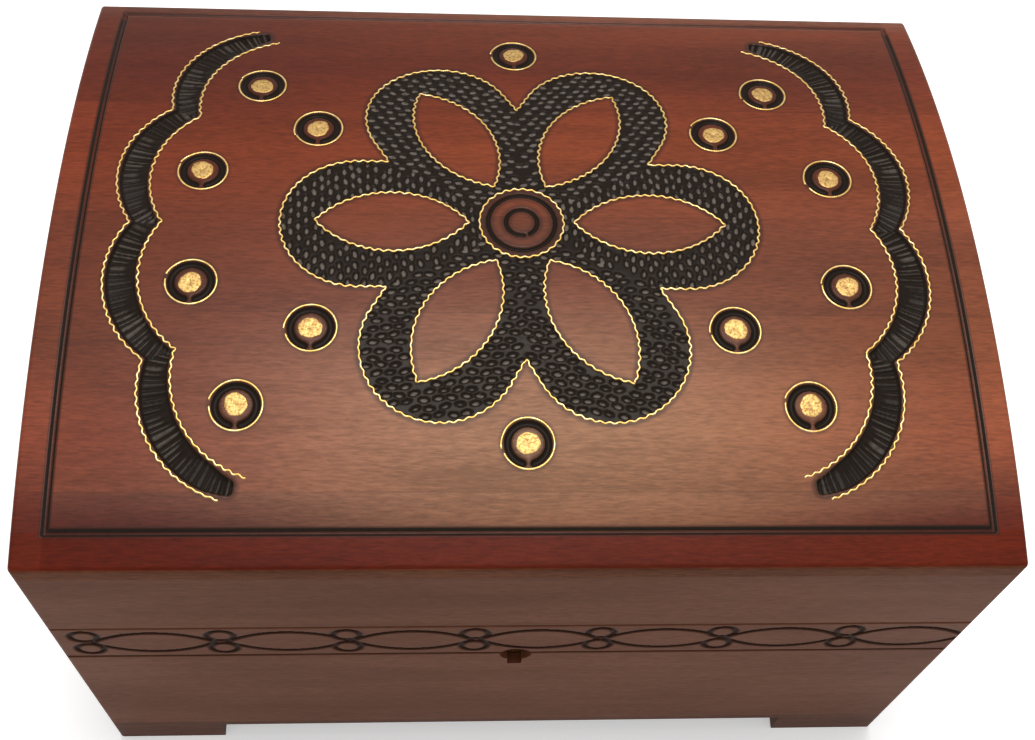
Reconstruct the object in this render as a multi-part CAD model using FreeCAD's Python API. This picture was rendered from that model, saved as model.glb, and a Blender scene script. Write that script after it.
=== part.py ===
import FreeCAD, Part
import math
import os

# A footed wooden jewelry box with a carved, gently domed lid that locks and swings open at the back.
# Millimetres. The origin is at the middle of the floor under the feet; +Z is up and the keyhole faces -Y.

# Outside of the box
case_width = 290.0
case_depth = 214.0
corner_radius = 1.5
eased_edge = 0.5
foot_height = 14.3
foot_width = 39.5
foot_depth = 39.5
base_thickness = 4.0
wall_height = 100.7
wall_thickness = 12.0
lining_thickness = 1.5
lining_clearance = 0.4

# Lid: a mitred rim under boards that are glued edge to edge and planed to a dome
lid_gap = 0.4
rail_height = 40.0
board_edge_height = 6.5
dome_rise = 14.8
dome_edge_bevel = 1.0
front_board_width = 21.5
second_board_width = 55.5
third_board_width = 35.5
fourth_board_width = 47.5

# Carving in the dome, seen from above; the flower sits a little behind the middle
carving_depth = 1.3
flower_y = 3.2
petal_count = 6
petal_half_width = 24.2
petal_round_centre = 51.0
leaf_start = 16.5
leaf_end = 64.5
leaf_half_width = 11.3
hub_radius = 13.2
band_centre_x = 18.0
band_centre_y = 2.0
band_outer_radius = 139.0
band_inner_radius = 129.2
band_scallops = 4
band_scallop_angle = 20.1
band_outer_bulge = 9.6
band_inner_bulge = 8.8
border_groove_width = 2.0
border_groove_depth = 0.9
border_side_margin = 9.5
border_front_margin = 10.5
border_back_margin = 5.6

# Front of the case: a cut line under the ornament and the keyhole
line_drop = 25.2
line_width = 1.4
line_depth = 0.9
keyhole_drop = 26.8
keyhole_radius = 5.2
keyhole_slot_width = 4.8
keyhole_slot_length = 9.4

# Hinges in the bevelled back edge; the bevels meet and stop the open lid
hinge_end_distance = 57.0
hinge_length = 34.0
hinge_inset = 3.6
stop_bevel_angle = 50.0
leaf_thickness = 1.0
barrel_radius = 2.2
barrel_clearance = 0.4
pin_radius = 0.9
pin_clearance = 0.05
knuckle_gap = 0.3
knuckle_count = 3
hinge_screw_spacing = 20.0

# Lock let into the front wall from inside, and its strike plate in the lid rim
lock_plate_height = 42.0
lock_plate_thickness = 1.2
lock_case_width = 42.0
lock_ear = 7.0
lock_case_depth = 7.0
lock_case_below_key = 11.0
lock_case_shell = 0.8
mortise_clearance = 0.2
mortise_floor_clearance = 0.3
lock_keyhole_radius = 3.2
lock_keyhole_slot_width = 2.6
lock_keyhole_slot_length = 7.4
key_post_radius = 1.3
key_post_setback = 0.4
key_reach = 6.4
talon_width = 5.0
talon_depth = 2.4

# Sliding bolt: two fingers pass through the eyes of the strike plate
bolt_travel = 5.0
bolt_thickness = 2.2
bolt_height = 7.0
bolt_end_gap = 1.6
finger_length = 4.5
finger_height = 2.4
finger_rest_gap = 0.6
arm_width = 2.5
slide_clearance = 0.1
stud_radius = 1.2
stud_spacing = 16.0
stud_middle_x = -1.0
staple_thickness = 2.0
staple_width = 5.0
staple_bridge = 1.6
staple_drop = 3.2
eye_clearance = 0.4
slot_clearance = 0.4
spring_left_clearance = 1.1
spring_right_clearance = 1.0
spring_rise = 2.6
spring_thickness = 0.4
spring_width = 2.0
spring_gap = 0.3
spring_post_radius = 0.9

# Countersunk wood screws
screw_head_radius = 2.0
screw_shank_radius = 1.1
screw_length = 8.0
screw_clearance = 0.05
screw_sides = 10
lock_screw_margin = 6.0

# How far cutting tools reach past the face they cut
overcut = 1.0

# Levels and planes worked out from the sizes above
half_width = case_width / 2
half_depth = case_depth / 2
lock_width = lock_case_width + 2 * lock_ear
base_bottom = foot_height
base_top = base_bottom + base_thickness
body_top = base_top + wall_height
lid_bottom = body_top + lid_gap
rail_top = lid_bottom + rail_height
dome_edge = rail_top + board_edge_height
dome_radius = (half_depth ** 2 + dome_rise ** 2) / (2 * dome_rise)
dome_axis_z = dome_edge + dome_rise - dome_radius
front_inside_y = -half_depth + wall_thickness
back_inside_y = half_depth - wall_thickness
keyhole_z = body_top - keyhole_drop
hinge_x = half_width - hinge_end_distance
hinge_y = half_depth - hinge_inset
hinge_z = body_top + lid_gap / 2
lock_plate_y = front_inside_y - lock_plate_thickness
lock_face_y = lock_plate_y - lock_case_depth
bolt_middle_y = lock_plate_y - (lock_case_depth - lock_case_shell) / 2
bolt_left_end = -lock_case_width / 2 + lock_case_shell + bolt_end_gap
bolt_right_end = -bolt_left_end - bolt_travel
left_finger_tip = bolt_left_end + arm_width + finger_length
staple_spacing = -2 * (left_finger_tip + finger_rest_gap + staple_thickness / 2)
right_arm_left = staple_spacing / 2 - staple_thickness / 2 - finger_rest_gap - finger_length - arm_width
spring_left = bolt_left_end + arm_width + bolt_travel + spring_left_clearance
spring_right = right_arm_left - spring_right_clearance
spring_middle_x = (spring_left + spring_right) / 2
finger_z = lid_bottom - staple_drop - staple_bridge - finger_height / 2 - eye_clearance
bolt_bottom = keyhole_z + key_reach - talon_depth / 2
bolt_top = bolt_bottom + bolt_height
far = case_width + case_depth
sides = (-1, 1)


def vec(x, y, z):
    return FreeCAD.Vector(x, y, z)


def block(x0, x1, y0, y1, z0, z1):
    """Rectangular solid between two corners."""
    return Part.makeBox(x1 - x0, y1 - y0, z1 - z0, vec(x0, y0, z0))


def rod(radius, x, y, z, length, axis):
    """Round bar that starts at a point and runs along an axis."""
    return Part.makeCylinder(radius, length, vec(x, y, z), axis)


def flat(points):
    """Flat face with straight sides between corner points."""
    return Part.Face(Part.makePolygon(points + points[:1]))


def prism(points, direction):
    """Straight-sided solid swept from a closed outline of corner points."""
    return flat(points).extrude(direction)


def arc(start, middle, end):
    return Part.Arc(start, middle, end).toShape()


def line(start, end):
    return Part.LineSegment(start, end).toShape()


def joined(shapes):
    """Several touching solids made one."""
    return shapes[0].multiFuse(shapes[1:]).removeSplitter()


def outline_block(z0, z1):
    """The box's rounded outline, as a solid between two levels."""
    solid = block(-half_width, half_width, -half_depth, half_depth, z0, z1)
    uprights = [edge for edge in solid.Edges if edge.BoundBox.ZLength > (z1 - z0) / 2]
    return solid.makeFillet(corner_radius, uprights)


def mitred_frame(z0, z1, eased_z):
    """Four boards round the box, joined at 45 degrees; the outer arris at one level is eased."""
    solid = outline_block(z0, z1)
    rim = [edge for edge in solid.Edges if abs(edge.BoundBox.ZMin - eased_z) < eased_edge / 2
           and abs(edge.BoundBox.ZMax - eased_z) < eased_edge / 2]
    hollow = block(-half_width + wall_thickness, half_width - wall_thickness,
                   front_inside_y, back_inside_y, z0 - overcut, z1 + overcut)
    ring = solid.makeChamfer(eased_edge, rim).cut(hollow)
    reach = wall_thickness + overcut
    boards = {}
    runs = (("front", True, -1), ("back", True, 1), ("left", False, -1), ("right", False, 1))
    for name, along_x, way in runs:
        across = half_width if along_x else half_depth
        depth = half_depth if along_x else half_width
        outline = [(-across - overcut, depth + overcut), (across + overcut, depth + overcut),
                   (across - reach, depth - reach), (-across + reach, depth - reach)]
        if along_x:
            corners = [vec(along, way * out, z0) for along, out in outline]
        else:
            corners = [vec(way * out, along, z0) for along, out in outline]
        boards[name] = ring.common(prism(corners, vec(0, 0, z1 - z0)))
    return boards


def polygon_ring(radius, z):
    """Corners of the many-sided outline that stands for a small circle about the Z axis."""
    turns = [2 * math.pi * index / screw_sides for index in range(screw_sides)]
    return [vec(radius * math.cos(turn), radius * math.sin(turn), z) for turn in turns]


def screw(spare):
    """Countersunk screw with its flat top at the origin, pointing down; spare room makes it its own hole."""
    rings = [polygon_ring(screw_head_radius + spare, 0),
             polygon_ring(screw_shank_radius + spare, -lock_plate_thickness),
             polygon_ring(screw_shank_radius + spare, -screw_length - spare)]
    faces = [flat(rings[0]), flat(rings[-1])]
    for upper, lower in zip(rings, rings[1:]):
        for index in range(screw_sides):
            after = (index + 1) % screw_sides
            faces.append(flat([upper[index], lower[index], lower[after], upper[after]]))
    return Part.makeSolid(Part.makeShell(faces))


def placed(shape, position, direction):
    """A copy of a downward-pointing screw or hole, turned to point along a direction."""
    copy = shape.copy()
    turn = FreeCAD.Rotation(vec(0, 0, -1), direction)
    copy.Placement = FreeCAD.Placement(position, turn)
    return copy


def keyhole(radius, slot_width, slot_length, y0, y1):
    """Round hole with a slot below it, cut along Y."""
    hole = rod(radius, 0, y0, keyhole_z, y1 - y0, vec(0, 1, 0))
    slot = block(-slot_width / 2, slot_width / 2, y0, y1, keyhole_z - slot_length, keyhole_z)
    return hole.fuse(slot)


# Places of the screws, each with its head's centre and pointing direction
lock_screw_x = (lock_width - lock_ear) / 2
lock_screw_y = (front_inside_y + lock_face_y) / 2
lock_screw_z = body_top - lock_plate_height + lock_screw_margin
hinge_screw_y = (back_inside_y + hinge_y - barrel_radius) / 2
lock_screw_places = []
strike_screw_places = []
hinge_case_screw_places = []
hinge_lid_screw_places = []
for side in sides:
    lock_screw_places.append((vec(side * lock_screw_x, lock_screw_y, body_top), vec(0, 0, -1)))
    lock_screw_places.append((vec(side * lock_screw_x, front_inside_y, lock_screw_z), vec(0, -1, 0)))
    strike_screw_places.append((vec(side * lock_screw_x, lock_screw_y, lid_bottom), vec(0, 0, 1)))
    for end in sides:
        screw_x = side * hinge_x + end * hinge_screw_spacing / 2
        hinge_case_screw_places.append((vec(screw_x, hinge_screw_y, body_top), vec(0, 0, -1)))
        hinge_lid_screw_places.append((vec(screw_x, hinge_screw_y, lid_bottom), vec(0, 0, 1)))


def screws(places):
    """One node's screws, each a solid of its own."""
    return Part.makeCompound([placed(screw(0), at, way) for at, way in places])


def holes(places):
    """Holes for one node's screws."""
    return [placed(screw(screw_clearance), at, way) for at, way in places]


def case_boards():
    """Front, back and side boards of the case, cut for the lock, the keyhole and the hinges."""
    boards = mitred_frame(base_top, body_top, body_top)
    half_lock = lock_width / 2 + mortise_clearance
    half_pocket = lock_case_width / 2 + mortise_clearance
    plate_bed = block(-half_lock, half_lock, lock_plate_y, front_inside_y + overcut,
                      body_top - lock_plate_height - mortise_clearance, body_top + overcut)
    edge_bed = block(-half_lock, half_lock, lock_face_y - mortise_clearance, front_inside_y + overcut,
                     body_top - lock_plate_thickness, body_top + overcut)
    pocket = block(-half_pocket, half_pocket, lock_face_y - mortise_floor_clearance, front_inside_y,
                   keyhole_z - lock_case_below_key - mortise_clearance, body_top)
    key_way = keyhole(keyhole_radius, keyhole_slot_width, keyhole_slot_length,
                      -half_depth - overcut, front_inside_y)
    line_z = body_top - line_drop
    line_start = -half_width - overcut
    cut_line = prism([vec(line_start, -half_depth - line_depth, line_z - line_width),
                      vec(line_start, -half_depth + line_depth, line_z),
                      vec(line_start, -half_depth - line_depth, line_z + line_width)],
                     vec(case_width + 2 * overcut, 0, 0))
    tools = [plate_bed, edge_bed, pocket, key_way, cut_line] + holes(lock_screw_places)
    boards["front"] = boards["front"].cut(tools)
    for name in ("back", "left", "right"):
        boards[name] = boards[name].cut(stop_bevel(-1))
    boards["back"] = boards["back"].cut(hinge_beds(-1) + holes(hinge_case_screw_places))
    return boards


def stop_bevel(way):
    """Cut that bevels the back edge at the joint of case and lid; way is -1 for the case, 1 for the lid."""
    face_z = body_top if way < 0 else lid_bottom
    reach = hinge_inset + overcut
    rise = reach * math.tan(math.radians(stop_bevel_angle))
    return prism([vec(-far / 2, hinge_y, face_z),
                  vec(-far / 2, hinge_y + reach, face_z + way * rise),
                  vec(-far / 2, hinge_y + reach, face_z - way * overcut),
                  vec(-far / 2, hinge_y, face_z - way * overcut)],
                 vec(far, 0, 0))


def hinge_beds(way):
    """Beds for the two hinge leaves and hollows for their barrels."""
    face_z = body_top if way < 0 else lid_bottom
    half_bed = hinge_length / 2 + mortise_clearance
    low, high = sorted((face_z + way * leaf_thickness, face_z - way * overcut))
    tools = []
    for side in sides:
        start = side * hinge_x - half_bed
        tools.append(block(start, start + 2 * half_bed, back_inside_y - overcut, hinge_y, low, high))
        tools.append(rod(barrel_radius + barrel_clearance, start, hinge_y, hinge_z,
                         2 * half_bed, vec(1, 0, 0)))
    return tools


def hinge_leaf(side, way):
    """Brass leaf with its share of the barrel; the case leaf has the end knuckles."""
    face_z = body_top if way < 0 else lid_bottom
    low, high = sorted((face_z + way * leaf_thickness, face_z))
    start = side * hinge_x - hinge_length / 2
    clear_y = hinge_y - barrel_radius - barrel_clearance
    pieces = [block(start, start + hinge_length, back_inside_y, clear_y, low, high)]
    pitch = hinge_length / knuckle_count
    for index in range(knuckle_count):
        if (index % 2 == 0) == (way < 0):
            left = start + index * pitch + (knuckle_gap / 2 if index > 0 else 0)
            right = start + (index + 1) * pitch - (knuckle_gap / 2 if index < knuckle_count - 1 else 0)
            pieces.append(rod(barrel_radius, left, hinge_y, hinge_z, right - left, vec(1, 0, 0)))
            pieces.append(block(left, right, clear_y - leaf_thickness, hinge_y, low, high))
    bore = rod(pin_radius + pin_clearance, start - overcut, hinge_y, hinge_z,
               hinge_length + 2 * overcut, vec(1, 0, 0))
    places = hinge_case_screw_places if way < 0 else hinge_lid_screw_places
    return joined(pieces).cut([bore] + holes(places))


def hinge_pin(side):
    start = side * hinge_x - hinge_length / 2
    return rod(pin_radius, start, hinge_y, hinge_z, hinge_length, vec(1, 0, 0))


def lid_rails():
    """Mitred rim of the lid, cut for the strike plate and the hinges."""
    rails = mitred_frame(lid_bottom, rail_top, lid_bottom)
    half_lock = lock_width / 2 + mortise_clearance
    strike_bed = block(-half_lock, half_lock, lock_face_y - mortise_clearance, front_inside_y + overcut,
                       lid_bottom - overcut, lid_bottom + lock_plate_thickness)
    rails["front"] = rails["front"].cut([strike_bed] + holes(strike_screw_places))
    for name in ("back", "left", "right"):
        rails[name] = rails[name].cut(stop_bevel(1))
    rails["back"] = rails["back"].cut(hinge_beds(1) + holes(hinge_lid_screw_places))
    return rails


def sunk(face, depth):
    """Tool that cuts a flat outline into the dome to an even depth below its surface."""
    column = face.extrude(vec(0, 0, dome_edge + dome_rise + overcut - rail_top))
    floor = rod(dome_radius - depth, -far / 2, 0, dome_axis_z, far, vec(1, 0, 0))
    return column.cut(floor)


def flat_face(outlines):
    """Flat face from one outer outline and any holes, each a list of edges."""
    wires = [Part.Wire(Part.__sortEdges__(edges)) for edges in outlines]
    return Part.makeFace(wires, "Part::FaceMakerBullseye")


def flower_face():
    """Six round-ended petals round a hub; a pointed leaf shape is left standing in each."""
    def polar(along, across, turn):
        return vec(along * math.cos(turn) - across * math.sin(turn),
                   flower_y + along * math.sin(turn) + across * math.cos(turn), rail_top)
    outer = []
    inner = []
    notch = petal_half_width / math.tan(math.pi / petal_count)
    half = petal_half_width
    tip = petal_round_centre + petal_half_width
    for index in range(petal_count):
        turn = index * 2 * math.pi / petal_count
        start = polar(petal_round_centre, -half, turn)
        end = polar(petal_round_centre, half, turn)
        outer.append(line(polar(notch, -half, turn), start))
        outer.append(arc(start, polar(tip, 0, turn), end))
        outer.append(line(end, polar(notch, half, turn)))
        root = polar(leaf_start, 0, turn)
        point = polar(leaf_end, 0, turn)
        middle = (leaf_start + leaf_end) / 2
        inner.append([arc(root, polar(middle, leaf_half_width, turn), point),
                      arc(point, polar(middle, -leaf_half_width, turn), root)])
    hub = Part.makeCircle(hub_radius, vec(0, flower_y, rail_top))
    return flat_face([outer] + inner + [[hub]])


def band_face(side):
    """Scalloped band beside the flower; its cusps lie on two circles about one centre."""
    def at(radius, turn):
        return vec(side * (radius * math.cos(turn) - band_centre_x),
                   band_centre_y + radius * math.sin(turn), rail_top)
    step = math.radians(band_scallop_angle)
    first = -band_scallops * step / 2
    edges = []
    for radius, bulge in ((band_outer_radius, band_outer_bulge), (band_inner_radius, band_inner_bulge)):
        for index in range(band_scallops):
            turn = first + index * step
            crest = radius * math.cos(step / 2) + bulge
            edges.append(arc(at(radius, turn), at(crest, turn + step / 2), at(radius, turn + step)))
    for turn in (first, -first):
        edges.append(line(at(band_inner_radius, turn), at(band_outer_radius, turn)))
    return flat_face([edges])


def border_face():
    """Rectangular groove that frames the carving."""
    wires = []
    for spread in (border_groove_width / 2, -border_groove_width / 2):
        x = half_width - border_side_margin + spread
        front = -half_depth + border_front_margin - spread
        back = half_depth - border_back_margin + spread
        corners = [vec(-x, front, rail_top), vec(x, front, rail_top),
                   vec(x, back, rail_top), vec(-x, back, rail_top)]
        wires.append([line(corners[i], corners[(i + 1) % 4]) for i in range(4)])
    return flat_face(wires)


def lid_boards():
    """Domed top of the lid, carved as one and then parted along its glue lines."""
    start = -far / 2
    front_foot = vec(start, -half_depth, rail_top)
    front_edge = vec(start, -half_depth, dome_edge)
    crown = vec(start, 0, dome_edge + dome_rise)
    back_edge = vec(start, half_depth, dome_edge)
    back_foot = vec(start, half_depth, rail_top)
    profile = Part.Wire([line(front_foot, front_edge), arc(front_edge, crown, back_edge),
                         line(back_edge, back_foot), line(back_foot, front_foot)])
    loaf = Part.Face(profile).extrude(vec(far, 0, 0))
    dome = loaf.common(outline_block(rail_top, dome_edge + dome_rise + overcut))
    top = max(dome.Faces, key=lambda face: face.CenterOfMass.z)
    dome = dome.makeChamfer(dome_edge_bevel, top.Edges)
    tools = [sunk(flower_face(), carving_depth), sunk(border_face(), border_groove_depth)]
    tools += [sunk(band_face(side), carving_depth) for side in sides]
    dome = dome.cut(tools)
    joints = [-half_depth - overcut, -half_depth + front_board_width]
    for width in (second_board_width, third_board_width, fourth_board_width):
        joints.append(joints[-1] + width)
    joints.append(half_depth + overcut)
    boards = []
    for low, high in zip(joints, joints[1:]):
        boards.append(dome.common(block(-far / 2, far / 2, low, high, rail_top, far)))
    return boards


def feet():
    """Corner blocks flush with the outside of the box."""
    outline = outline_block(0, base_bottom)
    found = {}
    for end, y0 in (("front", -half_depth), ("back", half_depth - foot_depth)):
        for side, x0 in (("left", -half_width), ("right", half_width - foot_width)):
            corner = block(x0, x0 + foot_width, y0, y0 + foot_depth, 0, base_bottom)
            found["foot_" + end + "_" + side] = outline.common(corner)
    return found


def stud_places():
    """The two studs in the lock's plate that the bolt slides on."""
    z = (bolt_bottom + bolt_top) / 2
    return [(stud_middle_x + side * stud_spacing / 2, z) for side in sides]


def lock_plate():
    """Brass back plate and top edge in one, with the studs that guide the bolt and hold the spring."""
    half = lock_width / 2
    plate = block(-half, half, lock_plate_y, front_inside_y, body_top - lock_plate_height, body_top)
    edge = block(-half, half, lock_face_y, front_inside_y, body_top - lock_plate_thickness, body_top)
    pieces = [plate, edge]
    away = vec(0, -1, 0)
    stud_length = lock_plate_y - bolt_middle_y + bolt_thickness / 2 + slide_clearance
    for x, z in stud_places():
        pieces.append(rod(stud_radius, x, lock_plate_y, z, stud_length, away))
    post_x = spring_left + spring_post_radius
    post_z = bolt_top + spring_gap + spring_rise + spring_thickness + spring_post_radius
    post_length = lock_plate_y - bolt_middle_y + spring_width / 2
    pieces.append(rod(spring_post_radius, post_x, lock_plate_y, post_z, post_length, away))
    tools = holes(lock_screw_places)
    half_slot = staple_thickness / 2 + slot_clearance
    half_slot_depth = staple_width / 2 + slot_clearance
    for side in sides:
        x = side * staple_spacing / 2
        tools.append(block(x - half_slot, x + half_slot,
                           bolt_middle_y - half_slot_depth, bolt_middle_y + half_slot_depth,
                           body_top - lock_plate_thickness - overcut, body_top + overcut))
    return joined(pieces).cut(tools)


def lock_case():
    """Pressed cover over the works, open to the plate, with the lock's own keyhole."""
    half = lock_case_width / 2
    shell = lock_case_shell
    bottom = keyhole_z - lock_case_below_key
    top = body_top - lock_plate_thickness
    outer = block(-half, half, lock_face_y, lock_plate_y, bottom, top)
    inner = block(-half + shell, half - shell, lock_face_y + shell, lock_plate_y + overcut,
                  bottom + shell, top + overcut)
    key_way = keyhole(lock_keyhole_radius, lock_keyhole_slot_width, lock_keyhole_slot_length,
                      lock_face_y - overcut, lock_face_y + shell + overcut)
    return outer.cut([inner, key_way])


def key_post():
    length = lock_case_depth - key_post_setback
    return rod(key_post_radius, 0, lock_plate_y, keyhole_z, length, vec(0, -1, 0))


def lock_bolt():
    """Sliding plate with two fingers, guide slots for the studs and a notch for the key."""
    y0 = bolt_middle_y - bolt_thickness / 2
    y1 = bolt_middle_y + bolt_thickness / 2
    arm_top = finger_z + finger_height / 2
    pieces = [block(bolt_left_end, bolt_right_end, y0, y1, bolt_bottom, bolt_top)]
    for side in sides:
        tip = side * staple_spacing / 2 - staple_thickness / 2 - finger_rest_gap
        root = tip - finger_length
        pieces.append(block(root - arm_width, root, y0, y1, bolt_bottom, arm_top))
        pieces.append(block(root - arm_width, tip, y0, y1, finger_z - finger_height / 2, arm_top))
    room = stud_radius + slide_clearance
    through = bolt_thickness + 2 * overcut
    tools = []
    for x, z in stud_places():
        for end in (x, x - bolt_travel):
            tools.append(rod(room, end, y0 - overcut, z, through, vec(0, 1, 0)))
        tools.append(block(x - bolt_travel, x, y0 - overcut, y1 + overcut, z - room, z + room))
    talon_x = -bolt_travel / 2
    tools.append(block(talon_x - talon_width / 2, talon_x + talon_width / 2, y0 - overcut, y1 + overcut,
                       bolt_bottom - overcut, bolt_bottom + talon_depth))
    return joined(pieces).cut(tools)


def lock_spring():
    """Bowed leaf that presses on the bolt's top edge, hooked under its post."""
    low = bolt_top + spring_gap
    y = bolt_middle_y - spring_width / 2

    def bow(lift):
        return [vec(spring_left, y, low + spring_rise + lift),
                vec(spring_middle_x, y, low + lift),
                vec(spring_right, y, low + spring_rise + lift)]
    under = bow(0)
    upper = bow(spring_thickness)
    wire = Part.Wire([arc(under[0], under[1], under[2]), line(under[2], upper[2]),
                      arc(upper[2], upper[1], upper[0]), line(upper[0], under[0])])
    return Part.Face(wire).extrude(vec(0, spring_width, 0))


def strike_plate():
    """Plate in the lid rim with two eyed staples that drop into the lock."""
    half = lock_width / 2
    top = lid_bottom + lock_plate_thickness
    pieces = [block(-half, half, lock_face_y, front_inside_y, lid_bottom, top)]
    half_eye_height = finger_height / 2 + eye_clearance
    half_eye_width = bolt_thickness / 2 + eye_clearance
    staple_bottom = finger_z - half_eye_height - staple_bridge
    tools = holes(strike_screw_places)
    for side in sides:
        x0 = side * staple_spacing / 2 - staple_thickness / 2
        x1 = x0 + staple_thickness
        pieces.append(block(x0, x1, bolt_middle_y - staple_width / 2, bolt_middle_y + staple_width / 2,
                            staple_bottom, top))
        tools.append(block(x0 - overcut, x1 + overcut,
                           bolt_middle_y - half_eye_width, bolt_middle_y + half_eye_width,
                           finger_z - half_eye_height, finger_z + half_eye_height))
    return joined(pieces).cut(tools)


def floor_lining():
    room_x = half_width - wall_thickness - lining_clearance
    room_y = half_depth - wall_thickness - lining_clearance
    return block(-room_x, room_x, -room_y, room_y, base_top, base_top + lining_thickness)


def all_parts():
    parts = {"base_panel": outline_block(base_bottom, base_top), "floor_lining": floor_lining()}
    parts.update(feet())
    for side, board in case_boards().items():
        parts[side + "_wall"] = board
    for side, rail in lid_rails().items():
        parts["lid_" + side + "_rail"] = rail
    for index, board in enumerate(lid_boards()):
        parts["lid_board_" + str(index + 1)] = board
    for name, side in (("left", -1), ("right", 1)):
        parts["hinge_" + name + "_case_leaf"] = hinge_leaf(side, -1)
        parts["hinge_" + name + "_lid_leaf"] = hinge_leaf(side, 1)
        parts["hinge_" + name + "_pin"] = hinge_pin(side)
    parts["hinge_case_screws"] = screws(hinge_case_screw_places)
    parts["hinge_lid_screws"] = screws(hinge_lid_screw_places)
    parts["lock_plate"] = lock_plate()
    parts["lock_case"] = lock_case()
    parts["key_post"] = key_post()
    parts["lock_bolt"] = lock_bolt()
    parts["lock_spring"] = lock_spring()
    parts["lock_screws"] = screws(lock_screw_places)
    parts["strike_plate"] = strike_plate()
    parts["strike_screws"] = screws(strike_screw_places)
    return parts


os.makedirs("parts", exist_ok=True)
for node, shape in all_parts().items():
    shape.exportStep("parts/" + node + ".step")
    print(node, len(shape.Solids), round(shape.Volume, 1), shape.isValid())
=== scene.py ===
"""Looks of a footed wooden jewelry box: carved, blackened and brass-inlaid lid, chain-carved front."""
import logging
import math
from dataclasses import dataclass
from enum import Enum

import bpy
import numpy as np
from mathutils import Matrix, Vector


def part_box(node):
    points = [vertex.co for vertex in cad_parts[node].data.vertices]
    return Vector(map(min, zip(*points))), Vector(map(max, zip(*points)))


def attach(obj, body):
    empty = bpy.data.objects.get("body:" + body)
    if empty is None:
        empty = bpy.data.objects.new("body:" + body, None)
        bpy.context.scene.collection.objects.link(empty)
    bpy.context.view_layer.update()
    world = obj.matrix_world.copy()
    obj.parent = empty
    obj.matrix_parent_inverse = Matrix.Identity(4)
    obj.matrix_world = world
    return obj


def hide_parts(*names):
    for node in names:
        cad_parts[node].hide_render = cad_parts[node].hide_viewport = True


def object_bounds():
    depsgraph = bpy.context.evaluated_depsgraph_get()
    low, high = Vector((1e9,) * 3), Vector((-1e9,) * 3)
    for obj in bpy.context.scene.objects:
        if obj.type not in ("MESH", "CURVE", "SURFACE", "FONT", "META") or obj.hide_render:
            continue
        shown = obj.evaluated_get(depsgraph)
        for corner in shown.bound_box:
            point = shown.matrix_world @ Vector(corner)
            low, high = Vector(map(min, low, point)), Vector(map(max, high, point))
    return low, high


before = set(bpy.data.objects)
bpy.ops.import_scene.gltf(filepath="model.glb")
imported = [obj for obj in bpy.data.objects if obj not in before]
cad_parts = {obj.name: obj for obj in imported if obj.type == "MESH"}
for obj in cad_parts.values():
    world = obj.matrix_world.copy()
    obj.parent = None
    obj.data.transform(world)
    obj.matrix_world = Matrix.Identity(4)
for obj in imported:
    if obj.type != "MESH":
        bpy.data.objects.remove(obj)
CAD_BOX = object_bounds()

Array = np.ndarray
Socket = bpy.types.NodeSocket
Inputs = dict[object, object] | None
Triple = tuple[float, float, float]
Fade = tuple[tuple[float, Triple], ...]
Pair = tuple[Array, Array]
Mesh = tuple[Array, list[Array]]
Screw = tuple[Triple, tuple[int, int, int]]

LOG = logging.getLogger("jewelry_box")
MM = 0.001
SEED = 7
FULL_TURN = 2.0 * math.pi
SIDES = (-1.0, 1.0)
FAR = 9.0


def paint_mix(red: int, green: int, blue: int) -> Triple:
    """Linear colour from the 0 to 255 values that a picture shows.

    Args:
        red, green, blue: displayed values.

    Returns:
        The same colour in linear light.
    """
    shown = np.array([red, green, blue]) / 255.0
    linear = np.where(shown <= 0.04045, shown / 12.92, ((shown + 0.055) / 1.055) ** 2.4)
    return tuple(float(v) for v in linear)


def smooth_ramp(low: float, high: float, value: Array) -> Array:
    """Smooth rise from 0 at low to 1 at high: 3t^2 - 2t^3 of the clamped share t."""
    t = np.clip((value - low) / (high - low), 0.0, 1.0)
    return t * t * (3.0 - 2.0 * t)


def swung(x: Array, y: Array, turn: Array | float) -> Pair:
    """Coordinates along and across a direction: x cos + y sin, and y cos - x sin."""
    return x * np.cos(turn) + y * np.sin(turn), y * np.cos(turn) - x * np.sin(turn)


def on_circle(turns: Array | float) -> Array:
    """Places on the unit circle: cosine and sine of the turns."""
    return np.stack([np.cos(turns), np.sin(turns)], -1)


def arc_radius(half: float, rise: float) -> float:
    """Radius of an arc from half its chord and its rise: (h^2 + r^2) / 2r."""
    return (half ** 2 + rise ** 2) / (2.0 * rise)


def bowl(gap: Array, width: float) -> Array:
    """Depth share of a round-bottomed groove at a gap from its centre line: sqrt(1 - (2 gap / width)^2)."""
    return np.sqrt(np.clip(1.0 - (2.0 * gap / width) ** 2, 0.0, 1.0))


def rounded(radius: float, past: Array) -> Array:
    """Drop of a rounded edge at a distance past its start: r - sqrt(r^2 - p^2), p clamped to 0 to r."""
    return radius - np.sqrt(radius ** 2 - np.clip(past, 0.0, radius) ** 2)


def unit(vector: Array) -> Array:
    """The same direction at length 1."""
    return vector / np.linalg.norm(vector)


def middle_of(points: Array) -> Array:
    """Middle of the box round some points."""
    return (points.min(0) + points.max(0)) / 2.0


def box_of(node: str) -> Pair:
    """Low and high corner of a node in millimetres."""
    low, high = (np.array(corner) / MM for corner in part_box(node))
    return low, high


def node_points(node: str) -> Array:
    """Places of a node's points.

    Args:
        node: the node.

    Returns:
        n by 3 places in millimetres.
    """
    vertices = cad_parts[node].data.vertices
    points = np.empty(len(vertices) * 3, np.float32)
    vertices.foreach_get("co", points)
    return points.reshape(-1, 3).astype(float) / MM


def sheet_faces(rows: int, columns: int) -> Array:
    """Four-cornered faces of a grid whose points run row by row, facing up for rising x and y."""
    number = np.arange(rows * columns).reshape(rows, columns)
    return np.stack([number[:-1, :-1], number[:-1, 1:], number[1:, 1:], number[1:, :-1]], -1).reshape(-1, 4)


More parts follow.
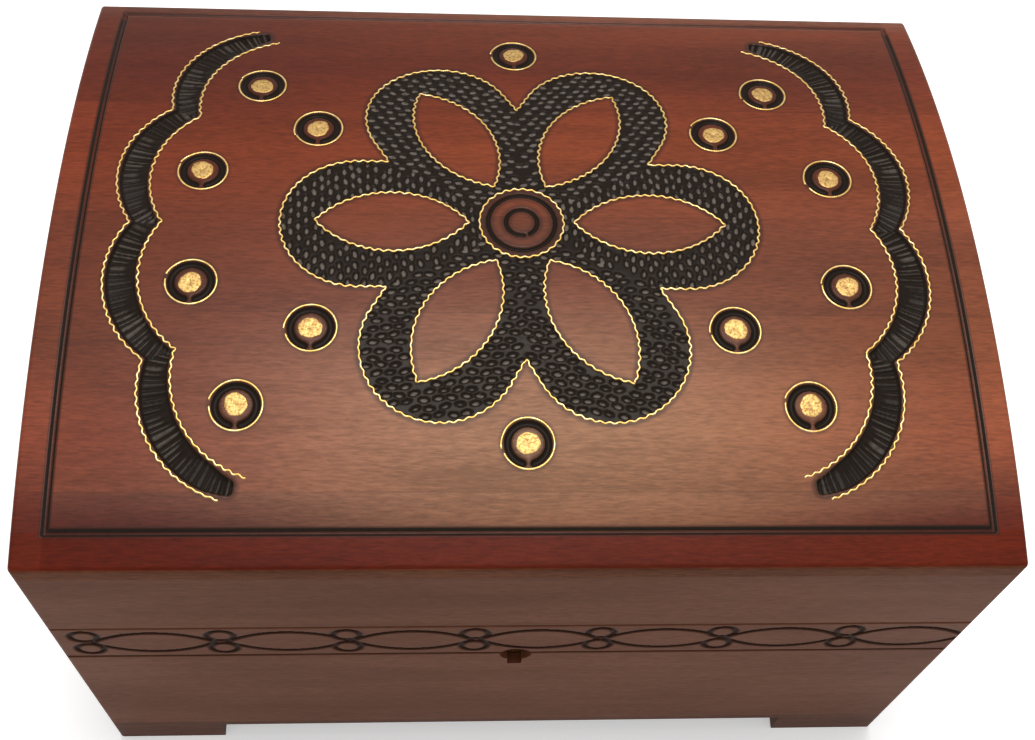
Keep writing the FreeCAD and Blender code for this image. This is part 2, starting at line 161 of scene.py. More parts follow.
def hoop_faces(grid: Array, turned: bool = False) -> Array:
    """Four-cornered faces between the rows of a grid whose rows close on themselves.

    Args:
        grid: point numbers, one row per hoop.
        turned: whether the faces look the other way.

    Returns:
        The faces.
    """
    after = np.roll(grid, -1, 1)
    faces = np.stack([grid[:-1], grid[1:], after[1:], after[:-1]], -1).reshape(-1, 4)
    return np.roll(faces[:, ::-1], 1, 1) if turned else faces


def rim_of(grid: Array) -> Array:
    """Outline of a grid of point numbers, from its first corner along the first row and round."""
    return np.concatenate([grid[0], grid[1:, -1], grid[-1, -2::-1], grid[-2:0:-1, 0]])


def joined(parts: list[Mesh]) -> Mesh:
    """One mesh from several: points in a row, corner numbers shifted to match.

    Args:
        parts: points and faces of each.

    Returns:
        Points and faces of all.
    """
    starts = np.cumsum([0] + [len(points) for points, _ in parts])
    faces = [face + start for (_, own), start in zip(parts, starts) for face in own]
    return np.concatenate([points for points, _ in parts]), faces


def linked(name: str, data: bpy.types.ID) -> bpy.types.Object:
    """Put a new object in the scene.

    Args:
        name: its name.
        data: its mesh, lamp or camera.

    Returns:
        The object.
    """
    item = bpy.data.objects.new(name, data)
    bpy.context.scene.collection.objects.link(item)
    return item


def aim(item: bpy.types.Object, right: Array, up: Array, back: Array, place: Array) -> None:
    """Turn a lamp or camera to three axes and put it in place, in metres."""
    turn = np.vstack([np.stack([right, up, back, place], 1), (0.0, 0.0, 0.0, 1.0)])
    item.matrix_world = Matrix(turn.tolist())


class Grain(Enum):
    """Which way the fibres of a board run: 1 marks the axes across them."""

    ALONG_X = (0, 1, 1)
    ALONG_Y = (1, 0, 1)


class NodeBench:
    """Builds the nodes of a material or of the sky with short calls."""

    def __init__(self, owner: bpy.types.ID, output: str = "OutputMaterial",
                 shader: str = "BsdfPrincipled") -> None:
        """Clear the owner's nodes and join a new shader to a new output.

        Args:
            owner: material or world.
            output, shader: kinds of these two nodes.
        """
        owner.use_nodes = True
        self.owner, self.tree = owner, owner.node_tree
        self.tree.nodes.clear()
        self.shader = self.add(shader)
        self.add(output, {"Surface": self.shader.outputs[0]})

    def feed(self, socket: Socket, value: object) -> None:
        """Link a socket to another, or set its own value.

        Args:
            socket: what is fed.
            value: a socket, number or colour.
        """
        if isinstance(value, Socket):
            self.tree.links.new(value, socket)
        else:
            socket.default_value = value

    def add(self, kind: str, inputs: Inputs = None, **settings: object) -> bpy.types.Node:
        """Add one node.

        Args:
            kind: node type, less its common beginning.
            inputs: values or sockets by input name or number.
            settings: the node's own properties.

        Returns:
            The new node.
        """
        node = self.tree.nodes.new("ShaderNode" + kind)
        for key, value in settings.items():
            setattr(node, key, value)
        for key, value in (inputs or {}).items():
            self.feed(node.inputs[key], value)
        return node

    def spot(self) -> Socket:
        """Place on the object, in its own coordinates."""
        return self.add("TexCoord").outputs["Object"]

    def axes(self) -> bpy.types.bpy_prop_collection:
        """The place's X, Y and Z."""
        return self.add("SeparateXYZ", {0: self.spot()}).outputs

    def math(self, operation: str, first: object, second: object, third: object = 0.0) -> Socket:
        """One arithmetic step on numbers or sockets."""
        return self.add("Math", {0: first, 1: second, 2: third}, operation=operation).outputs[0]

    def weighted(self, *parts: tuple[object, object]) -> Socket:
        """Sum of numbers, each times its weight.

        Args:
            parts: pairs of a number and its weight, as values or sockets.

        Returns:
            The sum.
        """
        total = 0.0
        for part, weight in parts:
            total = self.math("MULTIPLY_ADD", part, weight, total)
        return total

    def share(self, value: object, low: float, high: float, start: float = 0.0, end: float = 1.0) -> Socket:
        """Smooth change from start to end as a value goes from low to high."""
        limits = {"Value": value, "From Min": low, "From Max": high, "To Min": start, "To Max": end}
        return self.add("MapRange", limits, interpolation_type="SMOOTHSTEP").outputs["Result"]

    def blend(self, share: object, first: object, second: object, how: str = "MIX") -> Socket:
        """Mix two colours by a share.

        Args:
            share: 0 for the first, 1 for the second.
            first, second: sockets, or three numbers.
            how: the way of mixing.

        Returns:
            The mixed colour.
        """
        ends = {6: first, 7: second}
        ends = {key: (*value, 1.0) if isinstance(value, tuple) else value for key, value in ends.items()}
        return self.add("Mix", {0: share, **ends}, data_type="RGBA", blend_type=how).outputs[2]

    def scaled(self, colour: object, amount: object) -> Socket:
        """A colour made lighter or darker by a factor."""
        return self.add("VectorMath", {0: colour, "Scale": amount}, operation="SCALE").outputs[0]

    def between(self, share: object, first: object, second: object) -> Socket:
        """Mix two numbers by a share."""
        return self.add("Mix", {0: share, 2: first, 3: second}, data_type="FLOAT").outputs[0]

    def noise(self, scale: Triple, shift: Triple, detail: float = 4.0, roughness: float = 0.55,
              distortion: float = 0.0) -> Socket:
        """Noise on object coordinates, stretched per axis.

        Args:
            scale: features per metre along each axis.
            shift: where in the noise the pattern starts.
            detail, roughness, distortion: the noise's own settings.

        Returns:
            The noise value, about 0.2 to 0.8.
        """
        mapped = self.add("Mapping", {"Vector": self.spot(), "Location": shift, "Scale": scale}).outputs[0]
        return self.add("TexNoise", {"Vector": mapped, "Scale": 1.0, "Detail": detail, "Roughness": roughness,
                                     "Distortion": distortion}).outputs["Fac"]

    def attribute(self, name: str) -> Socket:
        """A number stored on the mesh's points."""
        return self.add("Attribute", attribute_name=name).outputs["Fac"]

    def seen(self) -> Socket:
        """1 on rays that show a thing, straight, mirrored or through glass."""
        path, ways = self.add("LightPath").outputs, ("Camera", "Glossy", "Transmission")
        return self.weighted(*((path["Is %s Ray" % way], 1.0) for way in ways))

    def bump(self, height: object, strength: float, distance: float) -> None:
        """Fine relief under the shader's normal."""
        node = self.add("Bump", {"Height": height, "Strength": strength, "Distance": distance})
        self.feed(self.shader.inputs["Normal"], node.outputs["Normal"])

    def finish(self, **sockets: object) -> bpy.types.ID:
        """Set the shader's sockets, with underscores for spaces, and hand over the owner."""
        for key, value in sockets.items():
            self.feed(self.shader.inputs[key.replace("_", " ")], value)
        return self.owner


@dataclass(frozen=True)
class PaintedSheenPatch:
    """Oval of painted sheen: the stain is painted paler here, standing for the lamp's sheen on the front of
    the dome; middle, half sizes and front limit in millimetres, and colour.
    """

    x: float
    y: float
    half_x: float
    half_y: float
    front: float
    colour: Triple

    def behind(self, bench: NodeBench, along: object, start: float = 0.0) -> Socket:
        """1 behind the front limit, and another number before it."""
        return bench.share(along, (self.front - 0.5) * MM, (self.front + 0.5) * MM, start)

    def share(self, bench: NodeBench, across: object, along: object) -> Socket:
        """How much painted sheen a place gets: 1 in the middle, 0 at the oval's rim and before the front
        limit.

        Args:
            bench: where the nodes go.
            across, along: the place's X and Y.

        Returns:
            The share.
        """
        sizes = ((across, self.x, self.half_x), (along, self.y, self.half_y))
        off = [bench.math("DIVIDE", bench.math("SUBTRACT", place, at * MM), half * MM)
               for place, at, half in sizes]
        away = bench.math("SQRT", bench.weighted(*zip(off, off)), 0.0)
        return bench.math("MULTIPLY", bench.share(away, 1.0, 0.0), self.behind(bench, along))


@dataclass(frozen=True)
class FibreLayer:
    """One scale of the grain: features per metre along and across, place in the noise, detail, weight."""

    along: float
    across: float
    start: float
    detail: float
    weight: float = 0.0


CLOUDS = FibreLayer(7.0, 34.0, 3.1, 2.0, 0.40)
STREAKS = FibreLayer(6.0, 190.0, 0.0, 4.0, 0.18)
FINE = FibreLayer(210.0, 1250.0, 7.7, 3.0, 0.42)
PORES = FibreLayer(260.0, 2400.0, 1.9, 1.0)


@dataclass(frozen=True)
class StainedWood:
    """Stain under thin lacquer, with straight grain; it may fade from front to back and carry black paint.

    The fade is a row of places along Y in millimetres, each with a colour there: the stain's own colour and,
    where a fade follows how the lid looks, painted light and shade mixed in.
    """

    name: str
    fade: Fade
    grain: Grain = Grain.ALONG_X
    start: float = 0.0
    painted: bool = False
    gloss: float = 0.48
    shine: float = 0.04
    contrast: float = 0.30
    # left, right: painted light across X, multipliers that make the left side darker and redder and the right
    # side lighter.
    left: Triple = (1.0, 1.0, 1.0)
    right: Triple = (1.0, 1.0, 1.0)
    paint: Triple = paint_mix(29, 22, 17)
    # Painted highlight: paler paint laid where the painted shade is low.
    painted_highlight: Triple = paint_mix(101, 92, 85)
    # Darker colour laid on the wood within halo millimetres of the paint's edge.
    dark_halo: Triple = paint_mix(38, 22, 15)
    halo: float = 2.1
    # Painted sheen: a paler oval laid over the stain.
    patch: PaintedSheenPatch | None = None
    edge: Triple | None = None
    # margin, margin_light: where the side margins begin and how much lighter they are painted; painted light.
    margin: float = 0.0
    margin_light: float = 1.22

    def fibres(self, bench: NodeBench, layer: FibreLayer) -> Socket:
        """Noise drawn out along the grain.

        Args:
            bench: where the nodes go.
            layer: its scale.

        Returns:
            The noise value.
        """
        scale = tuple(layer.across if flag else layer.along for flag in self.grain.value)
        start = self.start + layer.start
        return bench.noise(scale, (start, start * 0.7, start * 1.3), layer.detail, 0.6, 0.25)

    def stain(self, bench: NodeBench) -> Socket:
        """Colour of the stain, faded along Y, with painted light from left to right: darker and redder on the
        left, lighter on the right.

        Args:
            bench: where the nodes go.

        Returns:
            The colour, with the painted sheen, the side margins painted lighter and the upright edge laid
            over it.
        """
        place = bench.axes()
        low, high = self.fade[0][0] * MM, self.fade[-1][0] * MM
        share = bench.math("DIVIDE", bench.math("SUBTRACT", place["Y"], low), high - low)
        ramp = bench.add("ValToRGB", {0: share})
        steps = ramp.color_ramp.elements
        for number, (at, colour) in enumerate(self.fade):
            spot = (at * MM - low) / (high - low)
            step = steps[number] if number < 2 else steps.new(spot)
            step.position, step.color = spot, (*colour, 1.0)
        # Painted light: the left side darker and redder, the right side lighter.
        side = bench.share(place["X"], -0.14, 0.05)
        tone = bench.blend(1.0, ramp.outputs["Color"], bench.blend(side, self.left, self.right), "MULTIPLY")
        # Painted sheen: a paler oval over the front middle of the lid.
        if self.patch:
            tone = bench.blend(self.patch.share(bench, place["X"], place["Y"]), tone, self.patch.colour)
        # Painted light: outside the border groove at the sides the stain is painted lighter, as if that
        # margin catches more light; near the front it runs into the strip's colour.
        if self.margin:
            from_front = bench.share(place["Y"], low + 2.0 * MM, low + 46.0 * MM)
            lit = bench.blend(from_front, self.fade[0][1], bench.scaled(tone, self.margin_light))
            outside = bench.math("ABSOLUTE", place["X"], 0.0)
            tone = bench.blend(bench.share(outside, self.margin * MM, (self.margin + 1.0) * MM), tone, lit)
        if self.edge:
            tone = bench.blend(bench.attribute("upright"), tone, self.edge)
        return tone

    def painted_over(self, bench: NodeBench, tone: Socket, rough: Socket) -> tuple[Socket, Socket, Socket]:
        """Lay paint in the cuts, with a darker halo round them and a painted highlight on the paint where its
        painted shade is low.

        Args:
            bench: where the nodes go.
            tone, rough: colour and roughness of the bare wood.

        Returns:
            Colour, roughness and shine.
        """
        edge = bench.attribute("paint_edge")
        # A darker halo on the wood round the cuts, along the board joints and inside the hub ring.
        tone = bench.blend(bench.share(edge, self.halo, 0.3 * self.halo, 0.0, 0.62), tone, self.dark_halo)
        # Painted highlight: where the painted shade is low, on rib crests and in the scoops, the paint is
        # painted paler, broken up by noise.
        highlight_breakup = bench.share(bench.noise((700.0,) * 3, (self.start, 0.0, 2.0), 2.0), 0.25, 0.55, 0.35)
        highlight_share = bench.math("MULTIPLY", bench.share(bench.attribute("painted_shade"), 0.7, 0.0), highlight_breakup)
        cover = bench.share(edge, 0.14, -0.16)
        tone = bench.blend(cover, tone, bench.blend(highlight_share, self.paint, self.painted_highlight))
        shine = bench.between(cover, self.shine, 0.4 * self.shine)
        if self.edge:
            shine = bench.between(bench.attribute("upright"), shine, 0.1 * self.shine)
        if self.patch:
            shine = bench.math("MULTIPLY", shine, self.patch.behind(bench, bench.axes()["Y"], 0.6))
        return tone, bench.between(cover, rough, 0.40), shine

    def material(self) -> bpy.types.Material:
        """Vary the stain by broad clouds, streaks and fine fibres, then lay paint in the cuts.

        Returns:
            The finished material.
        """
        bench = NodeBench(bpy.data.materials.new(self.name))
        layers = [(self.fibres(bench, layer), layer.weight) for layer in (CLOUDS, STREAKS, FINE)]
        mixed = bench.weighted(*layers)
        strength = bench.share(mixed, 0.34, 0.66, 1.0 - self.contrast, 1.0 + self.contrast)
        tone = bench.scaled(self.stain(bench), strength)
        tone = bench.scaled(tone, bench.share(self.fibres(bench, PORES), 0.52, 0.68, 1.0, 0.82))
        rough = bench.share(mixed, 0.35, 0.65, self.gloss + 0.05, self.gloss - 0.03)
        shine = self.shine
        if self.painted:
            tone, rough, shine = self.painted_over(bench, tone, rough)
        bench.bump(layers[-1][0], 0.06, 0.0004)
        return bench.finish(Base_Color=tone, Roughness=rough, Specular_IOR_Level=shine)


@dataclass(frozen=True)
class WarmMetal:
    """Brass, gilding or steel with faint tarnish clouds."""

    name: str
    bright: Triple
    dull: Triple
    gloss: float
    cloud: float = 420.0
    low: float = 0.42
    high: float = 0.62

    def material(self) -> bpy.types.Material:
        """Blend the bright and the dull metal by noise.

        Returns:
            The finished material.
        """
        bench = NodeBench(bpy.data.materials.new(self.name))
        clouds = bench.noise((self.cloud,) * 3, (1.3, 2.1, 0.4), 4.0, 0.65)
        tone = bench.blend(bench.share(clouds, self.low, self.high), self.dull, self.bright)
        rough = bench.share(clouds, 0.3, 0.7, self.gloss + 0.1, self.gloss)
        bench.bump(clouds, 0.08, 0.0003)
        return bench.finish(Base_Color=tone, Roughness=rough, Metallic=1.0)


@dataclass(frozen=True)
class Felt:
    """Short-napped cloth glued to the floor of the box."""

    name: str
    deep: Triple
    pale: Triple

    def material(self) -> bpy.types.Material:
        """Fine fluff over slow clouds, matt with a soft sheen.

        Returns:
            The finished material.
        """
        bench = NodeBench(bpy.data.materials.new(self.name))
        fluff = bench.noise((2600.0,) * 3, (0.2, 0.9, 0.1), 3.0, 0.7)
        clouds = bench.noise((30.0,) * 3, (0.5, 0.3, 0.7), 2.0)
        mixed = bench.weighted((fluff, 0.6), (clouds, 0.4))
        tone = bench.blend(bench.share(mixed, 0.35, 0.65), self.deep, self.pale)
        bench.bump(fluff, 0.35, 0.0006)
        return bench.finish(Base_Color=tone, Roughness=0.95, Sheen_Weight=0.25)


Finish = StainedWood | WarmMetal | Felt


class Workshop:
    """Turns arrays into pieces of the box and dresses them."""

    def __init__(self) -> None:
        """Start with no materials made."""
        self.made: dict[str, bpy.types.Material] = {}

    def coat(self, finish: Finish) -> bpy.types.Material:
        """Make a finish's material, once.

        Args:
            finish: what is asked for.

        Returns:
            Its material.
        """
        if finish.name not in self.made:
            self.made[finish.name] = finish.material()
        return self.made[finish.name]

    def piece(self, name: str, shape: Mesh, finish: Finish, body: str, slot: str, nodes: tuple[str, ...] = (),
              attributes: dict[str, Array] | None = None, sharp: Array | None = None) -> bpy.types.Object:
        """Make one mesh object from arrays, at the origin, riding on a body.

        Args:
            name: the piece's name.
            shape: n by 3 places in millimetres, and arrays of corner numbers; each array holds faces with
                one number of corners.
            finish: what it is dressed with.
            body, nodes: the body it rides on and the nodes it stands for; slot: not used.
            attributes: numbers per point for the material.
            sharp: point numbers; an edge between two of them is a crease.

        Returns:
            The object.
        """
        points, faces = shape
        mesh = bpy.data.meshes.new(name)
        corners = np.concatenate([part.ravel() for part in faces]).astype(np.int32)
        counts = np.concatenate([np.full(len(part), part.shape[1]) for part in faces]).astype(np.int32)
        starts = np.concatenate([[0], np.cumsum(counts)[:-1]]).astype(np.int32)
        mesh.vertices.add(len(points))
        mesh.vertices.foreach_set("co", (np.asarray(points, float) * MM).astype(np.float32).ravel())
        mesh.loops.add(len(corners))
        mesh.loops.foreach_set("vertex_index", corners)
        mesh.polygons.add(len(counts))
        mesh.polygons.foreach_set("loop_start", starts)
        mesh.polygons.foreach_set("loop_total", counts)
        mesh.polygons.foreach_set("use_smooth", np.ones(len(counts), bool))
        mesh.update(calc_edges=True)
        mesh.validate()
        for key, values in (attributes or {}).items():
            layer = mesh.attributes.new(key, "FLOAT", "POINT")
            layer.data.foreach_set("value", np.asarray(values, np.float32).ravel())
        if sharp is not None:
            self.crease(mesh, sharp)
        mesh.materials.append(self.coat(finish))
        item = linked(name, mesh)
        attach(item, body)
        if nodes:
            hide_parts(*nodes)
        LOG.info("%s: %d faces on %s", name, len(counts), body)
        return item

    @staticmethod
    def crease(mesh: bpy.types.Mesh, sharp: Array) -> None:
        """Mark as sharp the edges whose two ends are both in a set of points.

        Args:
            mesh: what is marked.
            sharp: numbers of the points.
        """
        ends = np.empty(len(mesh.edges) * 2, np.int32)
        mesh.edges.foreach_get("vertices", ends)
        marked = np.isin(ends, sharp).reshape(-1, 2).all(axis=1)
        layer = mesh.attributes.get("sharp_edge") or mesh.attributes.new("sharp_edge", "BOOLEAN", "EDGE")
        layer.data.foreach_set("value", marked)

    def dress(self, node: str, finish: Finish) -> None:
        """Give a carried-over node its finish in place of the plain one.

        Args:
            node: the node.
            finish: what it is dressed in.
        """
        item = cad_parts[node]
        item.data.materials.clear()
        item.data.materials.append(self.coat(finish))
        LOG.info("%s: dressed in %s", node, finish.name)


@dataclass(frozen=True)
class Dome:
    """Upper face of the lid: a cylinder about X, eased at its outline."""

    half_width: float
    half_depth: float
    foot: float
    crown: float
    rise: float = 14.8
    corner: float = 1.5
    ease: float = 1.25

    def height(self, y: Array) -> Array:
        """Level of the uncut dome: crown - (R - sqrt(R^2 - y^2))."""
        radius = arc_radius(self.half_depth, self.rise)
        return self.crown - radius + np.sqrt(radius ** 2 - y ** 2)

    def reach(self, y: Array) -> Array:
        """Half width of the outline, drawn in by the rounded corners."""
        return self.half_width - rounded(self.corner, np.abs(y) - (self.half_depth - self.corner))

    def inside(self, x: Array, y: Array) -> Array:
        """Distance in from the outline."""
        return np.minimum(self.reach(y) - np.abs(x), self.half_depth - np.abs(y))

    def eased(self, x: Array, y: Array) -> Array:
        """How far the rounded edge drops: a quarter circle within one radius of the outline."""
        return rounded(self.ease, self.ease - self.inside(x, y))


@dataclass(frozen=True)
class LidOrnament:
    """Flower, scalloped bands, ringed dots, hub rings and border groove, in plan millimetres."""

    dome: Dome
    flower_y: float = 3.2
    petals: int = 6
    petal_half: float = 24.2
    petal_end: float = 51.0
    leaf_root: float = 16.5
    leaf_tip: float = 64.5
    leaf_half: float = 11.3
    hub: float = 13.2
    hub_ring: float = 10.5
    hub_ring_width: float = 1.45
    hub_eye: float = 4.9
    hub_eye_width: float = 1.5
    hub_depth: float = 0.8
    hub_tint: float = 1.45
    band_x: float = 18.0
    band_y: float = 2.0
    band_outer: float = 139.0
    band_inner: float = 129.2
    scallops: int = 4
    scallop_turn: float = math.radians(20.1)
    scallop_step: float = 97.3
    outer_bulge: float = 9.6
    inner_bulge: float = 8.8
    band_inset: float = 0.75
    band_taper: float = 1.1
    band_tail: float = 3.0
    band_round: float = 1.5
    flute_pitch: float = 1.9
    flute_depth: float = 0.85
    border_width: float = 1.9
    border_depth: float = 0.9
    border_side: float = 9.5
    border_front: float = 10.5
    border_back: float = 5.6
    cut_depth: float = 0.45
    gouge_depth: float = 0.8
    gouge_long: float = 2.05
    gouge_wide: float = 1.08
    gouge_row: float = 2.45
    gouge_pitch: float = 4.3
    dot_groove: float = 6.0
    dot_groove_width: float = 2.3
    dot_bridge: float = 1.0
    ring: float = 7.7
    gilded: float = 3.5

    def dots(self) -> Array:
        """Middles of the fourteen ringed dots: two on the middle line, then pairs."""
        rows = ((84.6, 61.9), (84.6, -59.9), (65.0, 41.7), (64.0, -35.2), (100.4, 22.5), (100.4, -19.8))
        return np.array([(0.0, 80.4), (0.0, -71.2)] + [(side * x, y) for x, y in rows for side in SIDES])

    def rings(self) -> list[tuple[float, ...]]:
        """Ring grooves of the hub and the dots.

        Returns:
            Middle, depth, radius, width, bridge and opening of each.
        """
        down = -math.pi / 2.0
        hub = ((self.hub_ring, self.hub_ring_width, -1.6, math.radians(-78.0)),
               (self.hub_eye, self.hub_eye_width, 0.5, math.radians(-72.0)))
        dot = (1.0, self.dot_groove, self.dot_groove_width, self.dot_bridge, down)
        found = [(0.0, self.flower_y, self.hub_depth, *ring) for ring in hub]
        return found + [(*at, *dot) for at in self.dots()]

    def petal_frame(self, x: Array, y: Array) -> tuple[Array, Array, Array]:
        """Coordinates along and across the nearest petal, and that petal's turn.

        Args:
            x, y: places in plan.

        Returns:
            Along, across and turn.
        """
        step = FULL_TURN / self.petals
        turn = np.round(np.arctan2(y - self.flower_y, x) / step) * step
        return *swung(x, y - self.flower_y, turn), turn

    def leaf_edge(self, along: Array, across: Array) -> Array:
        """Distance to a leaf made of two equal arcs, negative inside.

        Args:
            along, across: places in the petal's frame.

        Returns:
            Distance to the arc's centre, less its radius.
        """
        half = (self.leaf_tip - self.leaf_root) / 2.0
        radius = arc_radius(half, self.leaf_half)
        away = np.abs(across) + radius - self.leaf_half
        return np.hypot(along - self.leaf_root - half, away) - radius

    def flower_edge(self, x: Array, y: Array) -> Array:
        """Distance to the blackened flower: six capsules less the leaves and the hub, negative inside.

        Args:
            x, y: places in plan.

        Returns:
            The distance.
        """
        along, across, _ = self.petal_frame(x, y)
        outer = np.hypot(along - np.clip(along, 0.0, self.petal_end), across) - self.petal_half
        middle = self.hub - np.hypot(x, y - self.flower_y)
        return np.maximum(np.maximum(outer, -self.leaf_edge(along, across)), middle)

    def scallop_circle(self, cusp: float, bulge: float) -> tuple[float, float]:
        """Centre distance and radius of the arc that bulges between two cusps on one circle."""
        radius = arc_radius(cusp * math.sin(self.scallop_turn / 2.0), bulge)
        return cusp * math.cos(self.scallop_turn / 2.0) + bulge - radius, radius

    def band_frame(self, x: Array, y: Array) -> tuple[Array, Array, Array, Array]:
        """Distances past the outer and inner scallops, and places along and past the scallops.

        Args:
            x, y: places in plan.

        Returns:
            Outer distance, inner distance, run along the nearest scallop's own arc, and how far the
            place lies past the band's last cusp, all in millimetres.
        """
        out, up = np.abs(x) + self.band_x, y - self.band_y
        most = self.scallops / 2.0 - 0.5
        index = np.clip(np.floor(np.arctan2(up, out) / self.scallop_turn) + 0.5, -most, most)
        out, up = swung(out, up, index * self.scallop_turn)
        centre, radius = self.scallop_circle(self.band_inner, self.inner_bulge)
        inner = np.hypot(out - centre, up) - radius
        centre, radius = self.scallop_circle(self.band_outer, self.outer_bulge)
        outer = np.hypot(out - centre, up) - radius
        mean = radius - (self.band_outer - self.band_inner) / 2.0
        run = np.arctan2(up, out - centre) * mean
        reach = math.asin(self.band_outer * math.sin(self.scallop_turn / 2.0) / radius) * mean
        past = np.where(np.abs(index) == most, np.sign(index) * run - reach, -reach)
        return outer, inner, run + index * self.scallop_step, past

    def band_edge(self, x: Array, y: Array) -> Array:
        """Distance to the blackened bands, negative inside; they narrow to blunt tails.

        Args:
            x, y: places in plan.

        Returns:
            The greater of the distances past sides and tails, rounded where they meet.
        """
        outer, inner, _, past = self.band_frame(x, y)
        inset = self.band_inset + self.band_taper * smooth_ramp(-7.0, self.band_tail, past)
        blunt = self.band_round
        sides, ends = np.maximum(outer, -inner) + inset, past - self.band_tail
        corner = np.hypot(np.clip(sides + blunt, 0.0, None), np.clip(ends + blunt, 0.0, None)) - blunt
        return np.where((sides > -blunt) & (ends > -blunt), corner, np.maximum(sides, ends))

    def band_depth(self, x: Array, y: Array) -> Pair:
        """Flutes fanning across the bands, deep at the outer edge and running out towards the inner one.

        Args:
            x, y: places in plan.

        Returns:
            Depth in millimetres and painted shade, 0 where a highlight is painted on a rib's crest.
        """
        outer, inner, run, _ = self.band_frame(x, y)
        side = np.sign(x)
        place = run + 0.40 * np.sin(run * 0.83 + side) + 0.22 * np.sin(run * 2.1 + 0.7 + side) + 0.05 * outer
        phase = place / self.flute_pitch
        number = np.floor(phase)
        away = np.abs(2.0 * (phase - number) - 1.0)
        uneven = 0.85 + 0.15 * np.sin(number * 12.9898 + 3.0 * side)
        reach = 8.4 + 1.6 * np.sin(number * 7.13 + 1.7 * side)
        ribbed = smooth_ramp(-reach - 2.2, -reach + 2.2, outer)
        cove = np.clip(1.0 - ((inner - 5.2) / 6.4) ** 2, 0.0, 1.0)
        depth = 0.45 + 0.55 * cove + ribbed * uneven * self.flute_depth * away ** 1.4
        # Painted highlight on each rib's crest, strongest towards the outer edge; the painted shade returned
        # is lower where it lies.
        crest = ribbed * smooth_ramp(0.95, 0.2, away) * smooth_ramp(-0.6, -2.2, outer) * uneven
        return depth, 1.0 - 0.66 * crest

    def gouge_places(self) -> tuple[Array, Array, Array, Array]:
        """Middles and directions of the oval gouge cuts in the flower.

        Returns:
            x, y, turn and strength of each cut: a staggered, jittered lattice over each petal, its cuts lying
            along X, or along Y in the two petals that point sideways; kept where that petal is the nearest
            and the flower is black.
        """
        rng = np.random.default_rng(SEED)
        reach = self.petal_end + self.petal_half
        columns, rows = (np.arange(-reach, reach, step) for step in (self.gouge_pitch, self.gouge_row))
        place, line = (part.ravel() for part in np.meshgrid(columns, rows))
        place = place + (np.round(line / self.gouge_row) % 2) * self.gouge_pitch / 2.0
        found = []
        for index in range(self.petals):
            turn = index * FULL_TURN / self.petals
            lie = math.pi / 2.0 * (index % 3 == 0) + 0.16 * math.sin(2.0 * turn + 0.4)
            run = place + rng.uniform(-0.55, 0.55, place.shape)
            aside = line + rng.uniform(-0.4, 0.4, place.shape)
            x, up = swung(run, aside, -lie)
            y = self.flower_y + up
            lean = lie + rng.uniform(-0.28, 0.28, place.shape)
            strength = rng.uniform(0.78, 1.08, place.shape)
            nearest = np.cos(self.petal_frame(x, y)[2] - turn) > 0.9
            kept = nearest & (self.flower_edge(x, y) < -0.8)
            found.append(np.stack([x, y, lean, strength])[:, kept])
        return tuple(np.concatenate(found, axis=1))

    def gouges(self, columns: Array, rows: Array) -> Array:
        """Depth of the scoops on a regular grid: strength x (1 - a^2 - b^2) in each cut's axes, deepest wins.

        Args:
            columns, rows: the grid's x and y lines.

        Returns:
            Scoop depth from 0 to 1, rows by columns.
        """
        x, y, turn, strength = (part[:, None, None] for part in self.gouge_places())
        finest = min(line[len(line) // 2 + 1] - line[len(line) // 2] for line in (columns, rows))
        wide = int(np.ceil(self.gouge_long / finest)) + 1
        offset = np.arange(-wide, wide + 1)
        near_x, near_y = np.broadcast_arrays(np.searchsorted(columns, x) + offset[None, None, :],
                                             np.searchsorted(rows, y) + offset[None, :, None])
        valid = (near_x >= 0) & (near_x < len(columns)) & (near_y >= 0) & (near_y < len(rows))
        near_x, near_y = np.clip(near_x, 0, len(columns) - 1), np.clip(near_y, 0, len(rows) - 1)
        along, across = swung(columns[near_x] - x, rows[near_y] - y, turn)
        squares = (along / self.gouge_long) ** 2 + (across / self.gouge_wide) ** 2
        depth = np.where(valid, np.clip(1.0 - squares, 0.0, 1.0), 0.0)
        scoops = np.zeros((len(rows), len(columns)))
        np.maximum.at(scoops, (near_y, near_x), np.minimum(depth * strength, 1.0))
        return scoops

    @staticmethod
    def open_ring(x: Array, y: Array, radius: float, width: float, bridge: float, opening: float) -> Pair:
        """Edge distance and depth share of a ring groove that stops short of closing.

        Args:
            x, y: places from the ring's middle.
            radius, width: of the groove.
            bridge: wood left standing between its ends.
            opening: direction of the bridge.

        Returns:
            Edge distance, negative inside, and depth share.
        """
        ahead, side = swung(x, y, opening)
        stop = np.where(ahead > 0.0, (bridge + width) / 2.0 - np.abs(side), -width)
        away = np.hypot(np.hypot(x, y) - radius, np.clip(stop, 0.0, None))
        return away - width / 2.0, bowl(away, width)

    def carved(self, columns: Array, rows: Array, x: Array, y: Array) -> tuple[Array, Array, Array]:
        """Depth of cut, distance to the paint's edge and painted shade over a board.

        Args:
            columns, rows: the board's regular grid lines.
            x, y: true places of the grid's points.

        Returns:
            Depth in millimetres, paint edge distance and painted shade from 0, a painted highlight, to 1.
        """
        flower, scoops = self.flower_edge(x, y), self.gouges(columns, rows)
        depth = smooth_ramp(0.05, -0.55, flower) * (self.cut_depth + self.gouge_depth * scoops)
        # Painted light and shade for the flower's black paint: ground is the shade level between the scoops,
        # lighter towards the front; lit is a highlight painted in each scoop's middle; rim is shade painted
        # round its edge.
        ground = 0.5 + 0.2 * smooth_ramp(-40.0, 10.0, y)
        lit = 0.95 * smooth_ramp(0.45, 0.95, scoops + 0.7 * (ground - 0.5))
        rim = ground + (1.0 - ground) * smooth_ramp(0.0, 0.22, scoops) - lit
        band = self.band_edge(x, y)
        fluted, between = self.band_depth(x, y)
        depth = np.maximum(depth, smooth_ramp(0.05, -0.6, band) * fluted)
